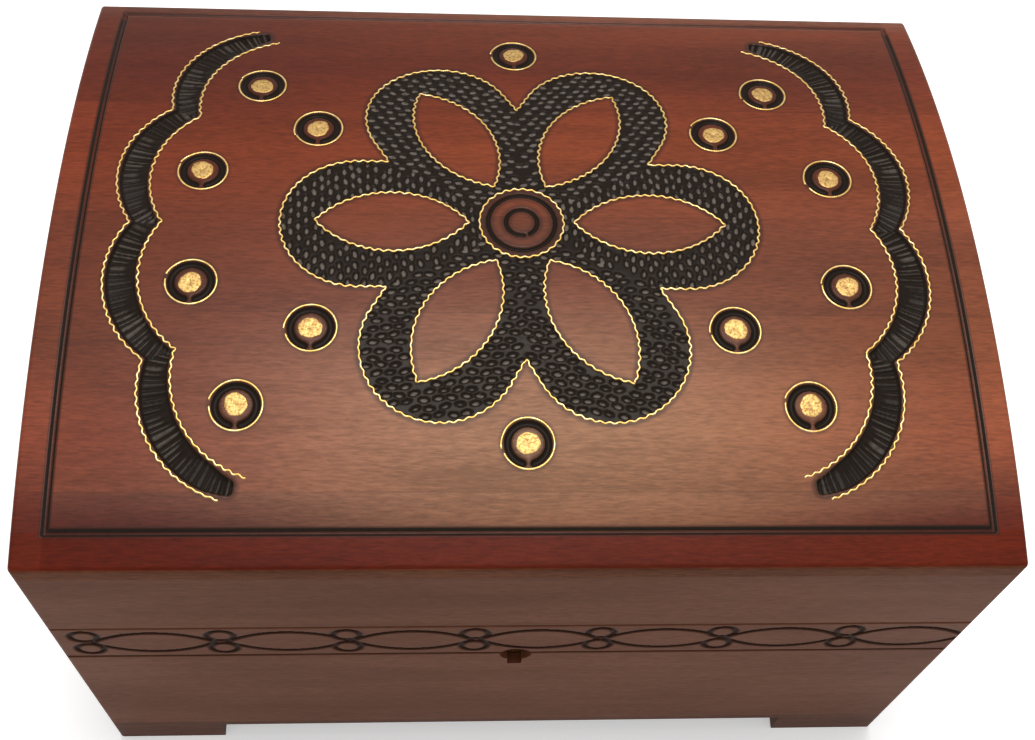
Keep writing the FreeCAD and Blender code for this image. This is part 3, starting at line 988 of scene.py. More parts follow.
        # Painted shade: the ribs' painted highlights in the bands, the scoops' painted light and shade in the
        # flower, a middle level on the bare wood.
        painted_shade = np.where(band < 0.0, between, np.where(flower < 0.0, rim, 0.6))
        paint = np.minimum(flower, band)
        for ring_x, ring_y, deep, *ring in self.rings():
            edge, share = self.open_ring(x - ring_x, y - ring_y, *ring)
            depth = np.maximum(depth, deep * share)
            paint = np.minimum(paint, edge)
            # Painted shade in the ring grooves: a fixed level with no highlight.
            painted_shade = np.where(edge < 0.0, 0.75, painted_shade)
        away = np.hypot(x, y - self.flower_y)
        tint = np.where(away > self.hub_ring, 0.0, self.hub_tint)
        paint = np.where(away < self.hub, np.minimum(paint, tint), paint)
        gap = self.border_gap(x, y)
        depth = np.maximum(depth, self.border_depth * bowl(gap, self.border_width))
        faint = 1.1 * smooth_ramp(-3.5, -2.5, y - self.dome.half_depth + self.border_back)
        edge = np.abs(gap) - self.border_width / 2.0
        return depth, np.minimum(paint, 2.5 * (np.abs(edge + 0.25) - 0.32) + faint), painted_shade

    def border_gap(self, x: Array, y: Array) -> Array:
        """Distance past the rectangle that the border groove follows, negative inside.

        Args:
            x, y: places in plan.

        Returns:
            The greater of the distances past its sides and past its ends.
        """
        middle = (self.border_front - self.border_back) / 2.0
        high = self.dome.half_depth - (self.border_front + self.border_back) / 2.0
        return np.maximum(np.abs(x) - (self.dome.half_width - self.border_side), np.abs(y - middle) - high)


@dataclass(frozen=True)
class CarvedLid:
    """The five glued boards of the domed top, each a fine height map closed to a solid."""

    workshop: Workshop
    dome: Dome
    ornament: LidOrnament
    finishes: tuple[StainedWood, ...]
    pitch: float = 0.42
    soft: float = 1.4
    joint_tint: float = 1.45
    joint_fade: float = 1.3

    def lines(self, low: float, high: float, soft_low: bool, soft_high: bool) -> Array:
        """Grid lines between two limits, crowded at an eased edge.

        Args:
            low, high: the limits.
            soft_low, soft_high: which of them are eased.

        Returns:
            The lines, rising.
        """
        crowd = np.array([0.0, 0.08, 0.25, 0.5, 0.8, 1.1])
        start, end = low + self.soft * soft_low, high - self.soft * soft_high
        inner = np.linspace(start, end, int(np.ceil((end - start) / self.pitch)) + 1)
        return np.concatenate([(low + crowd)[:len(crowd) * soft_low], inner,
                               (high - crowd)[::-1][:len(crowd) * soft_high]])

    def board(self, number: int) -> bpy.types.Object:
        """One board: carved top, upright sides and flat underside.

        Args:
            number: counted from the front.

        Returns:
            The object.
        """
        node = "lid_board_%d" % number
        low, high = box_of(node)
        first, last = number == 1, number == len(self.finishes)
        rows = self.lines(low[1], high[1], first, last)
        columns = self.lines(-self.dome.half_width, self.dome.half_width, True, True)
        share, y = np.meshgrid(columns / self.dome.half_width, rows)
        x = share * self.dome.reach(y)
        depth, paint, painted_shade = self.ornament.carved(columns, rows, x, y)
        z = self.dome.height(y) - self.dome.eased(x, y) - depth
        to_joint = np.minimum(y - low[1] + FAR * first, high[1] - y + FAR * last)
        paint = np.minimum(paint, self.joint_tint + self.joint_fade * to_joint)
        top = np.stack([x, y, z], -1).reshape(-1, 3)
        rim = rim_of(np.arange(x.size).reshape(x.shape))
        foot = top[rim].copy()
        foot[:, 2] = self.dome.foot
        under = np.arange(len(rim)) + len(top)
        tall, wide = x.shape
        front = under[:wide]
        back = under[wide + tall - 2:2 * wide + tall - 2][::-1]
        slats = np.stack([front[1:-2], back[1:-2], back[2:-1], front[2:-1]], -1)
        left_end = np.concatenate([front[:1], under[2 * wide + tall - 2:][::-1], back[:2], front[1:2]])
        right_end = np.concatenate([front[-2:-1], back[-2:-1], under[wide - 1:wide + tall - 1][::-1]])
        upright = smooth_ramp(0.5, 0.1, self.dome.inside(x, y))
        marks = {key: np.append(values, np.full(len(foot), below)) for key, values, below in
                 (("paint_edge", paint, FAR), ("painted_shade", painted_shade, 0.0), ("upright", upright, 1.0))}
        faces = [sheet_faces(tall, wide), hoop_faces(np.stack([rim, under])), slats, left_end[None],
                 right_end[None]]
        return self.workshop.piece(node + "_carved", (np.concatenate([top, foot]), faces),
                                   self.finishes[number - 1], "lid", "carved_wood", (node,), marks,
                                   np.concatenate([rim, under]))

    def build(self) -> None:
        """Make all boards, front to back."""
        for number in range(1, len(self.finishes) + 1):
            self.board(number)


@dataclass(frozen=True)
class BrassInlay:
    """Corrugated strips along the carving, rings round the dots and the gilded dots."""

    workshop: Workshop
    ornament: LidOrnament
    brass: WarmMetal
    gilding: WarmMetal
    wave_pitch: float = 2.95
    wave_height: float = 0.30
    width: float = 0.60
    proud: float = 0.22
    sunk: float = 0.9
    step: float = 0.3
    ring_steps: int = 120
    dot_steps: int = 40

    def profile(self) -> Array:
        """Half-rounded bar on edge: sideways place and height above the dome."""
        half, proud = self.width / 2.0, self.proud
        return np.array([(-half, -self.sunk), (half, -self.sunk), (half, proud * 0.3), (half * 0.5, proud),
                         (-half * 0.5, proud), (-half, proud * 0.3)])

    @staticmethod
    def sideways(path: Array, closed: bool) -> Pair:
        """Unit normals of a plan path and the run along it.

        Args:
            path: plan points close together.
            closed: whether it joins its own start.

        Returns:
            Normals, a quarter turn from the direction, and summed distances.
        """
        ahead = np.roll(path, -1, 0) - np.roll(path, 1, 0) if closed else np.gradient(path, axis=0)
        ahead = ahead / np.hypot(*ahead.T)[:, None]
        run = np.append(0.0, np.cumsum(np.hypot(*np.diff(path, axis=0).T)))
        return np.stack([-ahead[:, 1], ahead[:, 0]], -1), run

    def strip(self, path: Array, closed: bool, wavy: bool, phase: int) -> Mesh:
        """Points and faces of one bar along a plan path, swaying as a sine of the run.

        Args:
            path: plan points close together.
            closed: whether it joins its own start.
            wavy: whether the bar is corrugated.
            phase: where its unevenness starts.

        Returns:
            Points and faces.
        """
        normal, run = self.sideways(path, closed)
        if wavy:
            length = run[-1] + (np.hypot(*(path[0] - path[-1])) if closed else 0.0)
            waves = max(1, round(length / self.wave_pitch))
            wander = 0.5 * np.sin(run * 0.31 + phase) + 0.4 * np.sin(run * 0.13 + 2.0 * phase)
            swell = 0.8 + 0.35 * np.sin(run * 0.21 + phase) * np.sin(run * 0.047 + 0.5 * phase)
            sway = self.wave_height * swell * np.sin(FULL_TURN * waves * run / length + wander)
            path = path + normal * sway[:, None]
            normal, _ = self.sideways(path, closed)
        bar = self.profile()
        plan = path[:, None, :] + normal[:, None, :] * bar[None, :, 0, None]
        level = self.ornament.dome.height(plan[..., 1]) + bar[None, :, 1]
        points = np.concatenate([plan, level[..., None]], -1).reshape(-1, 3)
        grid = np.arange(len(points)).reshape(len(path), len(bar))
        if closed:
            return points, [hoop_faces(np.concatenate([grid, grid[:1]]), True)]
        return points, [hoop_faces(grid, True), grid[:1, ::-1], grid[-1:]]

    def arc(self, start: Array, top: Array, end: Array) -> Array:
        """Points about one step apart on the circle arc through three places.

        Args:
            start, top, end: places in plan; top lies between the others.

        Returns:
            Points on the circle whose centre is equally far from all three.
        """
        sides = 2.0 * np.stack([top - start, end - start])
        centre = np.linalg.solve(sides, [top @ top - start @ start, end @ end - start @ start])
        begin, middle, finish = (math.atan2(*(place - centre)[::-1]) for place in (start, top, end))
        sweep = math.remainder(middle - begin, FULL_TURN) + math.remainder(finish - middle, FULL_TURN)
        radius = float(np.hypot(*(start - centre)))
        steps = max(3, int(abs(sweep) * radius / self.step))
        return centre + radius * on_circle(np.linspace(begin, begin + sweep, steps))

    def turned(self, local: Array, turn: float) -> Array:
        """Petal coordinates swung about the flower's middle into plan."""
        return np.stack(swung(*local.T, -turn), -1) + (0.0, self.ornament.flower_y)

    def paths(self) -> list[tuple[Array, bool]]:
        """Plan paths of all corrugated strips, each with whether it is closed.

        Returns:
            Petal outlines and their leaves' arcs, the hub's circle and the bands' scalloped edges.
        """
        shape = self.ornament
        half, end = shape.petal_half, shape.petal_end
        notch = half / math.tan(math.pi / shape.petals)
        steps = int((end - notch) / self.step)
        straight = np.stack([np.linspace(notch, end, steps, endpoint=False), np.full(steps, -half)], -1)
        cap_turns = np.linspace(-math.pi / 2.0, math.pi / 2.0, int(math.pi * half / self.step))
        cap = half * on_circle(cap_turns) + (end, 0.0)
        petal = np.concatenate([straight, cap, (straight * (1.0, -1.0))[::-1]])
        root, tip = np.array([shape.leaf_root, 0.0]), np.array([shape.leaf_tip, 0.0])
        bellies = [(root + tip) / 2.0 + (0.0, side * shape.leaf_half) for side in SIDES]
        outlines = [petal] + [self.arc(root, belly, tip) for belly in bellies]
        found = [(self.turned(line, index * FULL_TURN / shape.petals), False)
                 for index in range(shape.petals) for line in outlines]
        around = np.linspace(0.0, FULL_TURN, int(FULL_TURN * shape.hub / self.step), endpoint=False)
        found.append((shape.hub * on_circle(around) + (0.0, shape.flower_y), True))
        edges = ((shape.band_outer, shape.outer_bulge), (shape.band_inner, shape.inner_bulge))
        return found + [(self.scalloped(*edge) * (side, 1.0), False) for side in SIDES for edge in edges]

    def scalloped(self, cusp: float, bulge: float) -> Array:
        """One scalloped edge of the right band: arcs between cusps on a circle.

        Args:
            cusp: the circle's radius.
            bulge: how far each arc stands out from its chord.

        Returns:
            Points along the edge.
        """
        shape = self.ornament
        half = shape.scallop_turn / 2.0
        crest = cusp * math.cos(half) + bulge
        runs = []
        for index in range(shape.scallops):
            begin = (index - shape.scallops / 2.0) * shape.scallop_turn
            ends = [np.array([-shape.band_x, shape.band_y]) + reach * on_circle(begin + turn)
                    for reach, turn in ((cusp, 0.0), (crest, half), (cusp, shape.scallop_turn))]
            runs.append(self.arc(*ends)[min(index, 1):])
        return np.concatenate(runs)

    def ring_path(self, middle: Array, number: int) -> Array:
        """A bent ring whose ends nearly meet: a circle with a gap, one end sprung out a little.

        Args:
            middle: its place in plan.
            number: which ring it is, for its gap.

        Returns:
            Points along the ring.
        """
        begin = math.radians(180.0 + 26.0 * math.sin(2.4 * number))
        gap = 0.07 + 0.05 * math.sin(1.7 * number + 1.0)
        share = np.linspace(0.0, 1.0, self.ring_steps)
        radius = self.ornament.ring + 0.3 * smooth_ramp(0.9, 1.0, share)
        return middle + radius[:, None] * on_circle(begin + gap + (FULL_TURN - 2.0 * gap) * share)

    def gather(self, paths: list[tuple[Array, bool]], wavy: bool) -> Mesh:
        """Several bars in one mesh; each bar's unevenness starts at its first point's number.

        Args:
            paths: plan paths, each with whether it is closed.
            wavy: whether the bars are corrugated.

        Returns:
            Points and faces.
        """
        parts, count = [], 0
        for path, closed in paths:
            parts.append(self.strip(path, closed, wavy, count))
            count += len(parts[-1][0])
        return joined(parts)

    def dot(self, middle: Array, number: int) -> Mesh:
        """A thin gilded disc with a wandering outline and a dent in its middle.

        Args:
            middle: its place in plan.
            number: which dot it is, for its outline.

        Returns:
            Points and faces: rings from the middle out, then down the edge, closed below.
        """
        around = np.linspace(0.0, FULL_TURN, self.dot_steps, endpoint=False)
        outline = (1.0 + 0.05 * np.sin(2.0 * around + number) + 0.03 * np.sin(3.0 * around + 1.9 * number)
                   + 0.025 * np.sin(7.0 * around + 2.3 * number))
        share = np.array([0.05, 0.16, 0.5, 0.8, 0.95, 1.0, 1.0])
        level = np.array([0.0, 0.13, 0.15, 0.15, 0.12, 0.05, -0.30])
        reach = self.ornament.gilded * share[:, None] * outline[None, :]
        x = middle[0] + 0.45 * math.sin(3.1 * number) + reach * np.cos(around)
        y = middle[1] + 0.35 * math.sin(1.3 * number + 2.0) + reach * np.sin(around)
        z = self.ornament.dome.height(y) + level[:, None]
        grid = np.arange(x.size).reshape(x.shape)
        return np.stack([x, y, z], -1).reshape(-1, 3), [hoop_faces(grid), grid[:1], grid[-1:, ::-1]]

    def build(self) -> None:
        """Make the strips, the rings and the dots."""
        middles = list(enumerate(self.ornament.dots()))
        rings = [(self.ring_path(middle, number), False) for number, middle in middles]
        dots = [self.dot(middle, number) for number, middle in middles]
        for name, shape, finish in (("brass_strips", self.gather(self.paths(), True), self.brass),
                                    ("brass_rings", self.gather(rings, False), self.brass),
                                    ("gilded_dots", joined(dots), self.gilding)):
            self.workshop.piece(name, shape, finish, "lid", "brass")


@dataclass(frozen=True)
class CarvedFront:
    """Front board of the case: a carved face with chain, cut line and keyhole before the plain board."""

    workshop: Workshop
    finish: StainedWood
    plain: StainedWood
    half_width: float
    front_y: float
    low: float
    high: float
    face_depth: float = 1.4
    corner: float = 1.5
    ease: float = 0.5
    loops: tuple[float, ...] = (-135.3, -93.4, -54.3, -13.9, 26.1, 65.2, 106.3)
    loop_radius: float = 4.2
    loop_high: float = 112.3
    loop_low: float = 101.3
    chain_z: float = 106.8
    lens_half: float = 19.1
    lens_rise: float = 8.3
    lens_shift: float = 20.6
    line_width: float = 1.7
    line_depth: float = 0.7
    rule_z: float = 93.8
    rule_width: float = 1.4
    rule_depth: float = 0.9
    key_z: float = 92.2
    key_radius: float = 5.2
    key_slot: float = 4.8
    key_length: float = 9.4
    pitch: float = 0.45
    coarse: float = 2.2
    patch_half: float = 8.1
    patch_low: float = 80.2
    patch_high: float = 100.0
    patch_rings: int = 18
    # Painted shade level for the front's cuts; their paint and painted highlight are one colour, so no
    # highlight shows.
    painted_shade: float = 0.7
    crease_turn: float = math.radians(30.0)

    def chain_gap(self, x: Array, z: Array) -> Array:
        """Distance to the nearest line of the chain: pairs of loops, and pointed ovals that end at them.

        Args:
            x, z: places on the face.

        Returns:
            The distance, at most FAR.
        """
        best = np.full(np.broadcast(x, z).shape, FAR)
        ovals = best.copy()
        within = np.zeros(best.shape, bool)
        radius = arc_radius(self.lens_half, self.lens_rise)
        away = np.abs(z - self.chain_z) + radius - self.lens_rise
        for middle in self.loops:
            for level in (self.loop_high, self.loop_low):
                reach = np.hypot(x - middle, z - level)
                best = np.minimum(best, np.abs(reach - self.loop_radius))
                within |= reach < self.loop_radius
            off = x - middle - self.lens_shift
            lens = np.abs(np.hypot(off, away) - radius)
            ovals = np.minimum(ovals, np.where(np.abs(off) < self.lens_half + 0.3, lens, FAR))
        return np.minimum(best, np.where(within, FAR, ovals))

    def surface(self, x: Array, z: Array) -> Pair:
        """Front face: y and distance to the paint's edge.

        Args:
            x, z: places on the face.

        Returns:
            y in millimetres and paint edge distance.
        """
        drop = rounded(self.corner, np.abs(x) - (self.half_width - self.corner))
        drop = np.maximum(drop, np.clip(z - self.high + self.ease, 0.0, self.ease))
        gap, off = self.chain_gap(x, z), np.abs(z - self.rule_z)
        rule = self.rule_depth * np.clip(1.0 - 2.0 * off / self.rule_width, 0.0, 1.0)
        cut = np.maximum(self.line_depth * bowl(gap, self.line_width), rule)
        return self.front_y + drop + cut, np.minimum(gap - self.line_width / 2.0, off - 0.25)

    def key_outline(self, turn: Array) -> Array:
        """Distance from the keyhole's middle to its edge: a circle, or a slot below it where that is farther.

        Args:
            turn: measured from straight down.

        Returns:
            The distance.
        """
        turn = np.abs(np.arctan2(np.sin(turn), np.cos(turn)))
        bottom = self.key_length / np.maximum(np.cos(turn), 0.05)
        side = self.key_slot / 2.0 / np.maximum(np.sin(turn), 1e-6)
        return np.maximum(self.key_radius, np.where(turn < math.pi / 2.0, np.minimum(bottom, side), 0.0))

    def lines(self) -> Pair:
        """Grid lines: fine over the chain, coarse below, with the keyhole patch on them.

        Returns:
            Lines along X and along Z.
        """
        reach = self.half_width - self.corner * (1.0 - math.sqrt(0.5))
        outer = np.linspace(self.patch_half, reach - 1.4, int((reach - self.patch_half) / self.pitch))
        inner = np.linspace(0.0, self.patch_half, 18)[:-1]
        right = np.concatenate([inner, outer, reach - np.array([1.05, 0.7, 0.35, 0.0])])
        chain_top = self.loop_high + self.loop_radius + 1.2
        spans = ((self.low, self.patch_low, self.coarse), (self.patch_low, self.patch_high, self.pitch),
                 (self.patch_high, chain_top, self.pitch))
        low, patch, chain = (np.linspace(start, end, int((end - start) / step)) for start, end, step in spans)
        top = self.high - np.array([1.0, 0.5, 0.25, 0.0])
        return np.concatenate([-right[:0:-1], right]), np.concatenate([low, patch[1:], chain[1:], top])

    def build(self) -> None:
        """Make the carved face as a closed slab with a keyhole, and the board behind it.

        The face is a grid with a square left out, filled by hoops that go from the keyhole's edge to the
        square's; a skirt and the keyhole's bore lead back to two flat halves.
        """
        columns, rows = self.lines()
        x, z = np.meshgrid(columns, rows)
        y, paint = self.surface(x, z)
        tall, wide = x.shape
        grid = np.arange(x.size).reshape(x.shape)
        left, right = np.searchsorted(columns, (-self.patch_half - 0.01, self.patch_half - 0.01))
        bottom, top = np.searchsorted(rows, (self.patch_low - 0.01, self.patch_high - 0.01))
        quads = sheet_faces(tall, wide)
        row, column = np.divmod(quads[:, 0], wide)
        hole = (row >= bottom) & (row < top) & (column >= left) & (column < right)
        half = wide // 2
        loop = np.concatenate([grid[bottom, half:right], grid[bottom:top, right], grid[top, right:left:-1],
                               grid[top:bottom:-1, left], grid[bottom, left:half]])
        points = np.stack([x, y, z], -1).reshape(-1, 3)
        edge = points[loop][:, [0, 2]]
        turn = np.arctan2(edge[:, 0], -(edge[:, 1] - self.key_z))
        reach = self.key_outline(turn)
        inner = np.stack([reach * np.sin(turn), self.key_z - reach * np.cos(turn)], -1)
        share = np.linspace(0.0, 1.0, self.patch_rings + 1)[:-1, None, None] ** 1.3
        plan_x, plan_z = np.moveaxis(inner[None] * (1.0 - share) + edge[None] * share, -1, 0)
        ring_y, ring_paint = self.surface(plan_x, plan_z)
        rings = np.stack([plan_x, ring_y, plan_z], -1).reshape(-1, 3)
        rim = rim_of(grid)
        rim_back = points[rim] * ((self.half_width - self.face_depth) / columns[-1], 1.0, 1.0)
        key_back = rings[:len(loop)].copy()
        rim_back[:, 1] = key_back[:, 1] = self.front_y + self.face_depth
        parts = (points, rings, rim_back, key_back)
        ends = np.cumsum([len(part) for part in parts])
        _, ring, rim_under, key_under = np.split(np.arange(ends[-1]), ends[:-1])
        hoops = np.concatenate([ring.reshape(-1, len(loop)), loop[None]])
        far = 2 * wide + tall - 2 - half
        off_top = np.abs(turn - math.pi) + np.where(edge[:, 1] > self.key_z, 0.0, FAR) + np.abs(edge[:, 0])
        key_top = int(np.argmin(off_top))
        right_back = np.concatenate([rim_under[half:far], key_under[key_top::-1]])
        left_back = np.concatenate([rim_under[far - 1:], rim_under[:half + 1], key_under[:1],
                                    key_under[:key_top - 1:-1]])
        faces = [quads[~hole], hoop_faces(hoops), hoop_faces(np.stack([rim, rim_under])),
                 hoop_faces(np.stack([hoops[0], key_under]), True), right_back[None, ::-1],
                 left_back[None, ::-1]]
        edges = np.concatenate([paint.ravel(), ring_paint.ravel(), np.full(len(rim) + len(loop), FAR)])
        marks = {"paint_edge": edges, "painted_shade": np.full(len(edges), self.painted_shade)}
        creases = np.concatenate([rim, rim_under, hoops[0], key_under])
        self.workshop.piece("front_wall_face", (np.concatenate(parts), faces), self.finish, "case",
                            "stained_wood", ("front_wall",), marks, creases)
        self.backing()

    def backing(self) -> None:
        """The plain board behind the carved face: the node's own shape, planed back to the face's depth."""
        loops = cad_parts["front_wall"].data.loops
        corners = np.empty(len(loops), np.int32)
        loops.foreach_get("vertex_index", corners)
        points = node_points("front_wall")
        points[:, 1] = np.maximum(points[:, 1], self.front_y + self.face_depth)
        places, merged = np.unique(np.round(points, 4), axis=0, return_inverse=True)
        triangles = merged.ravel()[corners].reshape(-1, 3)
        sound = (triangles != np.roll(triangles, -1, 1)).all(axis=1)
        item = self.workshop.piece("front_wall_board", (places, [triangles[sound]]), self.plain, "case",
                                   "stained_wood", ("front_wall",))
        item.data.set_sharp_from_angle(angle=self.crease_turn)


@dataclass(frozen=True)
class ScrewHeads:
    """Slotted countersunk screws in place of the plain ones."""

    workshop: Workshop
    finish: WarmMetal
    head: float = 2.0
    shank: float = 1.1
    neck: float = 1.2
    length: float = 8.0
    slot_half: float = 0.3
    slot_depth: float = 0.45
    steps: int = 36
    apart: float = 3.0

    def clusters(self, node: str) -> list[Array]:
        """Points of each screw in a node, parted where they lie far apart along X.

        Args:
            node: the node.

        Returns:
            One array of points per cluster.
        """
        points = node_points(node)
        points = points[np.lexsort((points[:, 2], points[:, 0]))]
        return np.split(points, np.where(np.diff(points[:, 0]) > self.apart)[0] + 1)

    def upright(self, node: str, way: tuple[int, int, int]) -> list[Screw]:
        """Head middle and direction of upright screws, read from the node's own shape.

        Args:
            node: the node they stand for.
            way: where they point.

        Returns:
            The screws.
        """
        found = []
        for cluster in self.clusters(node):
            x, y, _ = middle_of(cluster)
            found.append(((x, y, cluster[:, 2].max() if way[2] < 0 else cluster[:, 2].min()), way))
        return found

    def lock(self) -> list[Screw]:
        """Head middles of the lock's screws: at each end one upright in the edge and one level in the plate.

        Returns:
            The screws.
        """
        _, plate = box_of("lock_plate")
        found = []
        for cluster in self.clusters("lock_screws"):
            x, _, split = middle_of(cluster)
            above = cluster[:, 2] > split
            upper, lower = middle_of(cluster[above]), middle_of(cluster[~above])
            found += [((x, upper[1], plate[2]), (0, 0, -1)), ((x, plate[1], lower[2]), (0, -1, 0))]
        return found

    def build(self, node: str, body: str, places: list[Screw]) -> None:
        """Make one node's screws: rings from the slotted top down the cone and shank.

        Args:
            node: the node they stand for.
            body: the body they ride on.
            places: head middle and pointing direction of each screw.
        """
        around = np.linspace(0.0, FULL_TURN, self.steps, endpoint=False)
        reach = np.array([0.1, 0.3, 0.5, 0.7, 0.88, 0.97, 1.0]) * self.head
        radii = np.append(reach, [self.shank, self.shank])
        x, side = np.outer(radii, np.cos(around)), np.outer(radii, np.sin(around))
        rise = np.array([0.0, 0.0, 0.0, 0.0, 0.0, -0.02, -0.08, -self.neck, -self.length])
        down = np.repeat(rise[:, None], len(around), 1)
        slot = smooth_ramp(self.slot_half + 0.08, self.slot_half - 0.08, np.abs(x + 0.35 * side) / 1.06)
        down[:len(reach)] -= self.slot_depth * slot[:len(reach)]
        grid = np.arange(x.size).reshape(x.shape)
        faces = [hoop_faces(grid), grid[:1], grid[-1:, ::-1]]
        first = np.array([1.0, 0.0, 0.0])
        parts = []
        for middle, way in places:
            axis = -np.array(way, float)
            local = x[..., None] * first + side[..., None] * np.cross(axis, first) + down[..., None] * axis
            parts.append((local.reshape(-1, 3) + np.array(middle), faces))
        self.workshop.piece(node + "_slotted", joined(parts), self.finish, body, "screw_brass", (node,))


@dataclass(frozen=True)
class Studio:
    """Pale floor, soft overhead light and the camera."""

    eye: Triple = (-29.3, -252.9, 528.3)
    pitch: float = 1.0397
    yaw: float = 0.1297
    roll: float = 0.1163
    lens: float = 47.73
    sensor: float = 36.0
    nearest: float = 0.01
    floor_half: float = 4.0
    floor_tone: float = 0.93
    floor_glow: float = 0.38
    far_glow: float = 0.75
    sky: float = 0.46
    lamp_power: float = 14.0
    lamp_size: float = 0.6
    lamp_place: Triple = (0.03, 0.18, 1.35)
    lamp_target: Triple = (0.0, 0.0, 0.12)

    def camera(self) -> None:
        """Camera turned by yaw, pitch and roll: its axes are right, up and backwards."""
        data = bpy.data.cameras.new("camera")
        data.lens, data.sensor_width, data.clip_start = self.lens, self.sensor, self.nearest
        level = math.cos(self.pitch)
        ahead = np.array([math.sin(self.yaw) * level, math.cos(self.yaw) * level, -math.sin(self.pitch)])
        right = unit(np.cross(ahead, (0.0, 0.0, 1.0)))
        tilted, upright = swung(right, np.cross(right, ahead), self.roll)
        item = linked("camera", data)
        aim(item, tilted, upright, -ahead, np.array(self.eye) * MM)
        bpy.context.scene.camera = item

    def floor(self) -> None:
        """White floor that takes the shadow and glows more with distance, where it is seen."""
        half, tone = self.floor_half, self.floor_tone
        mesh = bpy.data.meshes.new("floor")
        mesh.from_pydata([(-half, -half, 0), (half, -half, 0), (half, half, 0), (-half, half, 0)], [],
                         [(0, 1, 2, 3)])
        bench = NodeBench(bpy.data.materials.new("white_floor"))
        away = bench.add("VectorMath", {0: bench.spot()}, operation="LENGTH").outputs["Value"]
        glow = bench.math("MULTIPLY", bench.seen(),
                          bench.share(away, 0.4, 1.8, self.floor_glow, self.far_glow))
        mesh.materials.append(bench.finish(Base_Color=(tone, tone, tone, 1.0), Roughness=0.9,
                                           Specular_IOR_Level=0.1, Emission_Color=(1.0, 1.0, 1.0, 1.0),
                                           Emission_Strength=glow))
        item = linked("floor", mesh)

    def light(self) -> None:
        """Even sky, white where the camera sees it, and one broad lamp overhead."""
        bench = NodeBench(bpy.data.worlds.new("sky"), "OutputWorld", "Background")
        strength = bench.share(bench.seen(), 0.0, 1.0, self.sky, 1.0)
        bpy.context.scene.world = bench.finish(Color=(1.0, 1.0, 1.0, 1.0), Strength=strength)
        lamp = bpy.data.lights.new("lamp", "AREA")
        lamp.energy, lamp.size = self.lamp_power, self.lamp_size
        place = np.array(self.lamp_place)
        back = unit(place - np.array(self.lamp_target))
        side = unit(np.cross((0.0, 1.0, 0.0), back))
        aim(linked("lamp", lamp), side, np.cross(back, side), back, place)

    def build(self) -> None:
        """Set the stage and plain viewing."""
        self.camera()
        self.floor()
        self.light()
        bpy.context.scene.view_settings.view_transform = "Standard"


def lid_stains(dome: Dome, ornament: LidOrnament, edge: Triple) -> tuple[StainedWood, ...]:
    """Stains of the lid's boards: one fade over all, from the dark strip in front to the back, with painted
    light in it: paler in the front middle where the lamp's sheen falls, and darker at the strip in front,
    partly as painted shade where the dome turns down.

    Args:
        dome, ornament: sizes that the fade follows.
        edge: colour of the upright outline.

    Returns:
        One finish per board, front to back.
    """
    groove = ornament.border_front - dome.half_depth
    joint = float(box_of("lid_board_1")[1][1])
    strip = paint_mix(88, 29, 14)
    # Painted light along Y: the pale stops in the front middle stand for the lamp's sheen, and the dark stop
    # just inside the front border groove stands for shade beside it. The dark red strip in front is its own
    # colour, partly deepened as painted shade where the dome turns down.
    fade = ((-dome.half_depth, strip), (groove - 0.6, strip), (groove + 0.6, paint_mix(76, 28, 18)),
            (joint - 0.4, paint_mix(104, 59, 44)), (joint + 0.4, paint_mix(120, 66, 46)),
            (-70.0, paint_mix(127, 65, 43)), (-40.0, paint_mix(103, 54, 33)), (0.0, paint_mix(105, 54, 36)),
            (30.0, paint_mix(113, 52, 29)), (72.0, paint_mix(85, 32, 15)), (98.0, paint_mix(92, 37, 14)),
            (dome.half_depth, paint_mix(101, 60, 44)))
    # Painted sheen: the paler oval where the lamp's sheen falls on the front middle of the lid.
    patch = PaintedSheenPatch(10.0, -70.0, 140.0, 55.0, groove, paint_mix(136, 91, 59))
    tones = (1.0, 1.0, 0.97, 1.02, 1.0)
    fades = [tuple((place, tuple(tone * part for part in colour)) for place, colour in fade)
             for tone in tones]
    # left and right are painted light: the lid's left side darker and redder, its right side lighter.
    return tuple(StainedWood("lid_board_stain_%d" % number, fades[number - 1], start=2.3 * number,
                             painted=True, gloss=0.36, shine=0.12, left=(0.84, 0.72, 0.68),
                             right=(1.07, 1.09, 1.05), patch=patch, edge=edge,
                             margin=dome.half_width - ornament.border_side)
                 for number in range(1, len(tones) + 1))


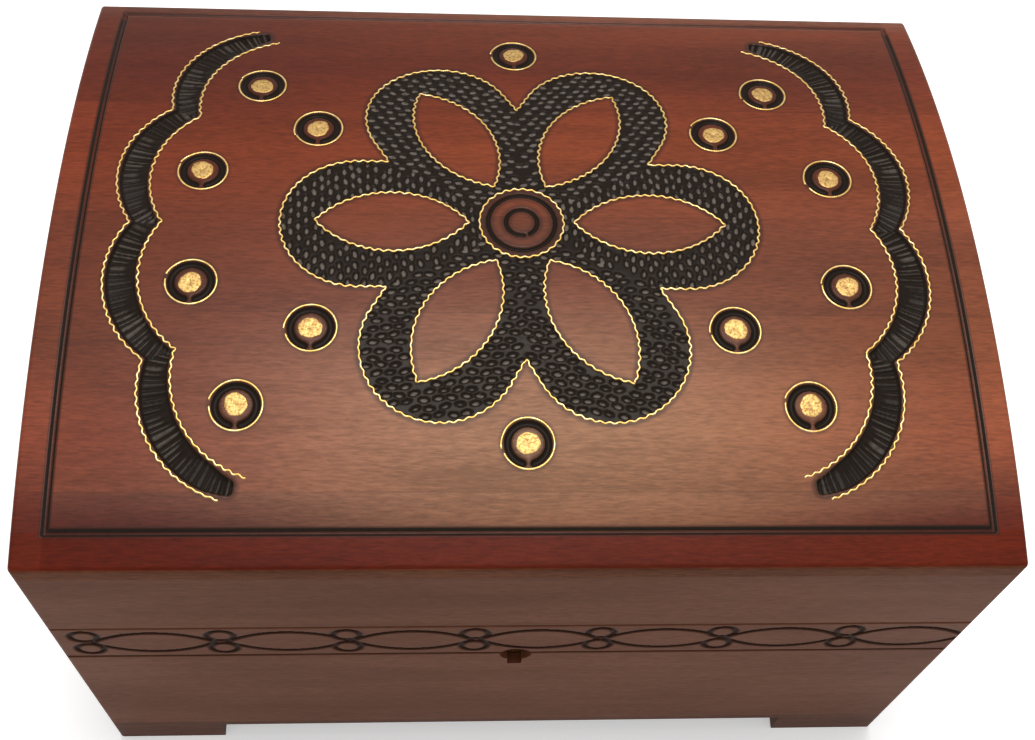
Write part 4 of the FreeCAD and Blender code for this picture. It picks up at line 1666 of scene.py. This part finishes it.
def main() -> None:
    """Build the lid, its inlay, the front, the hardware and the stage, then dress the other nodes."""
    logging.basicConfig(level=logging.INFO, format="%(name)s %(message)s")
    half_width, half_depth, crown = (float(size) / MM for size in CAD_BOX[1])
    workshop = Workshop()
    dome = Dome(half_width, half_depth, float(box_of("lid_board_1")[0][2]), crown)
    ornament = LidOrnament(dome)
    flat = paint_mix(107, 66, 46)
    CarvedLid(workshop, dome, ornament, lid_stains(dome, ornament, flat)).build()
    brass = WarmMetal("inlay_brass", paint_mix(220, 191, 134), paint_mix(198, 160, 88), 0.36)
    gilding = WarmMetal("gilding", paint_mix(184, 152, 95), paint_mix(140, 105, 58), 0.5, 1300.0, 0.36, 0.56)
    BrassInlay(workshop, ornament, brass, gilding).build()
    dull, low_dull = (((-half_depth, tone), (half_depth, tone)) for tone in (flat, paint_mix(92, 57, 41)))
    burnt = paint_mix(48, 29, 20)
    quiet = 0.18
    front = StainedWood("front_stain", dull, start=11.0, painted=True, contrast=quiet, paint=burnt,
                        painted_highlight=burnt, halo=0.8)
    across = StainedWood("long_board_stain", dull, start=13.0, contrast=quiet)
    along = StainedWood("side_board_stain", dull, Grain.ALONG_Y, 15.0, contrast=quiet)
    base = StainedWood("base_stain", low_dull, start=17.0, contrast=quiet)
    wall_low, wall_high = box_of("front_wall")
    CarvedFront(workshop, front, across, half_width, float(wall_low[1]), float(wall_low[2]),
                float(wall_high[2])).build()
    hardware = WarmMetal("brass_fittings", paint_mix(206, 166, 92), paint_mix(150, 112, 56), 0.30)
    screw_brass = WarmMetal("brass_screws", paint_mix(196, 158, 88), paint_mix(132, 98, 50), 0.30)
    steel = WarmMetal("bright_steel", paint_mix(170, 170, 168), paint_mix(120, 120, 120), 0.28)
    felt = Felt("lining_felt", paint_mix(58, 16, 18), paint_mix(92, 28, 28))
    hinges = ["hinge_%s_" % side for side in ("left", "right")]
    finishes = ((across, ["back_wall", "lid_front_rail", "lid_back_rail"]),
                (along, ["left_wall", "right_wall", "lid_left_rail", "lid_right_rail"]),
                (base, ["base_panel"] + [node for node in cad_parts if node.startswith("foot_")]),
                (felt, ["floor_lining"]),
                (steel, ["lock_spring"] + [hinge + "pin" for hinge in hinges]),
                (hardware, ["lock_plate", "lock_case", "key_post", "lock_bolt", "strike_plate"]
                 + [hinge + leaf for hinge in hinges for leaf in ("case_leaf", "lid_leaf")]))
    for finish, nodes in finishes:
        for node in nodes:
            workshop.dress(node, finish)
    heads = ScrewHeads(workshop, screw_brass)
    for node, body, way in (("hinge_case_screws", "case", (0, 0, -1)), ("hinge_lid_screws", "lid", (0, 0, 1)),
                            ("strike_screws", "lid", (0, 0, 1))):
        heads.build(node, body, heads.upright(node, way))
    heads.build("lock_screws", "case", heads.lock())
    Studio().build()


if __name__ == "__main__":
    main()
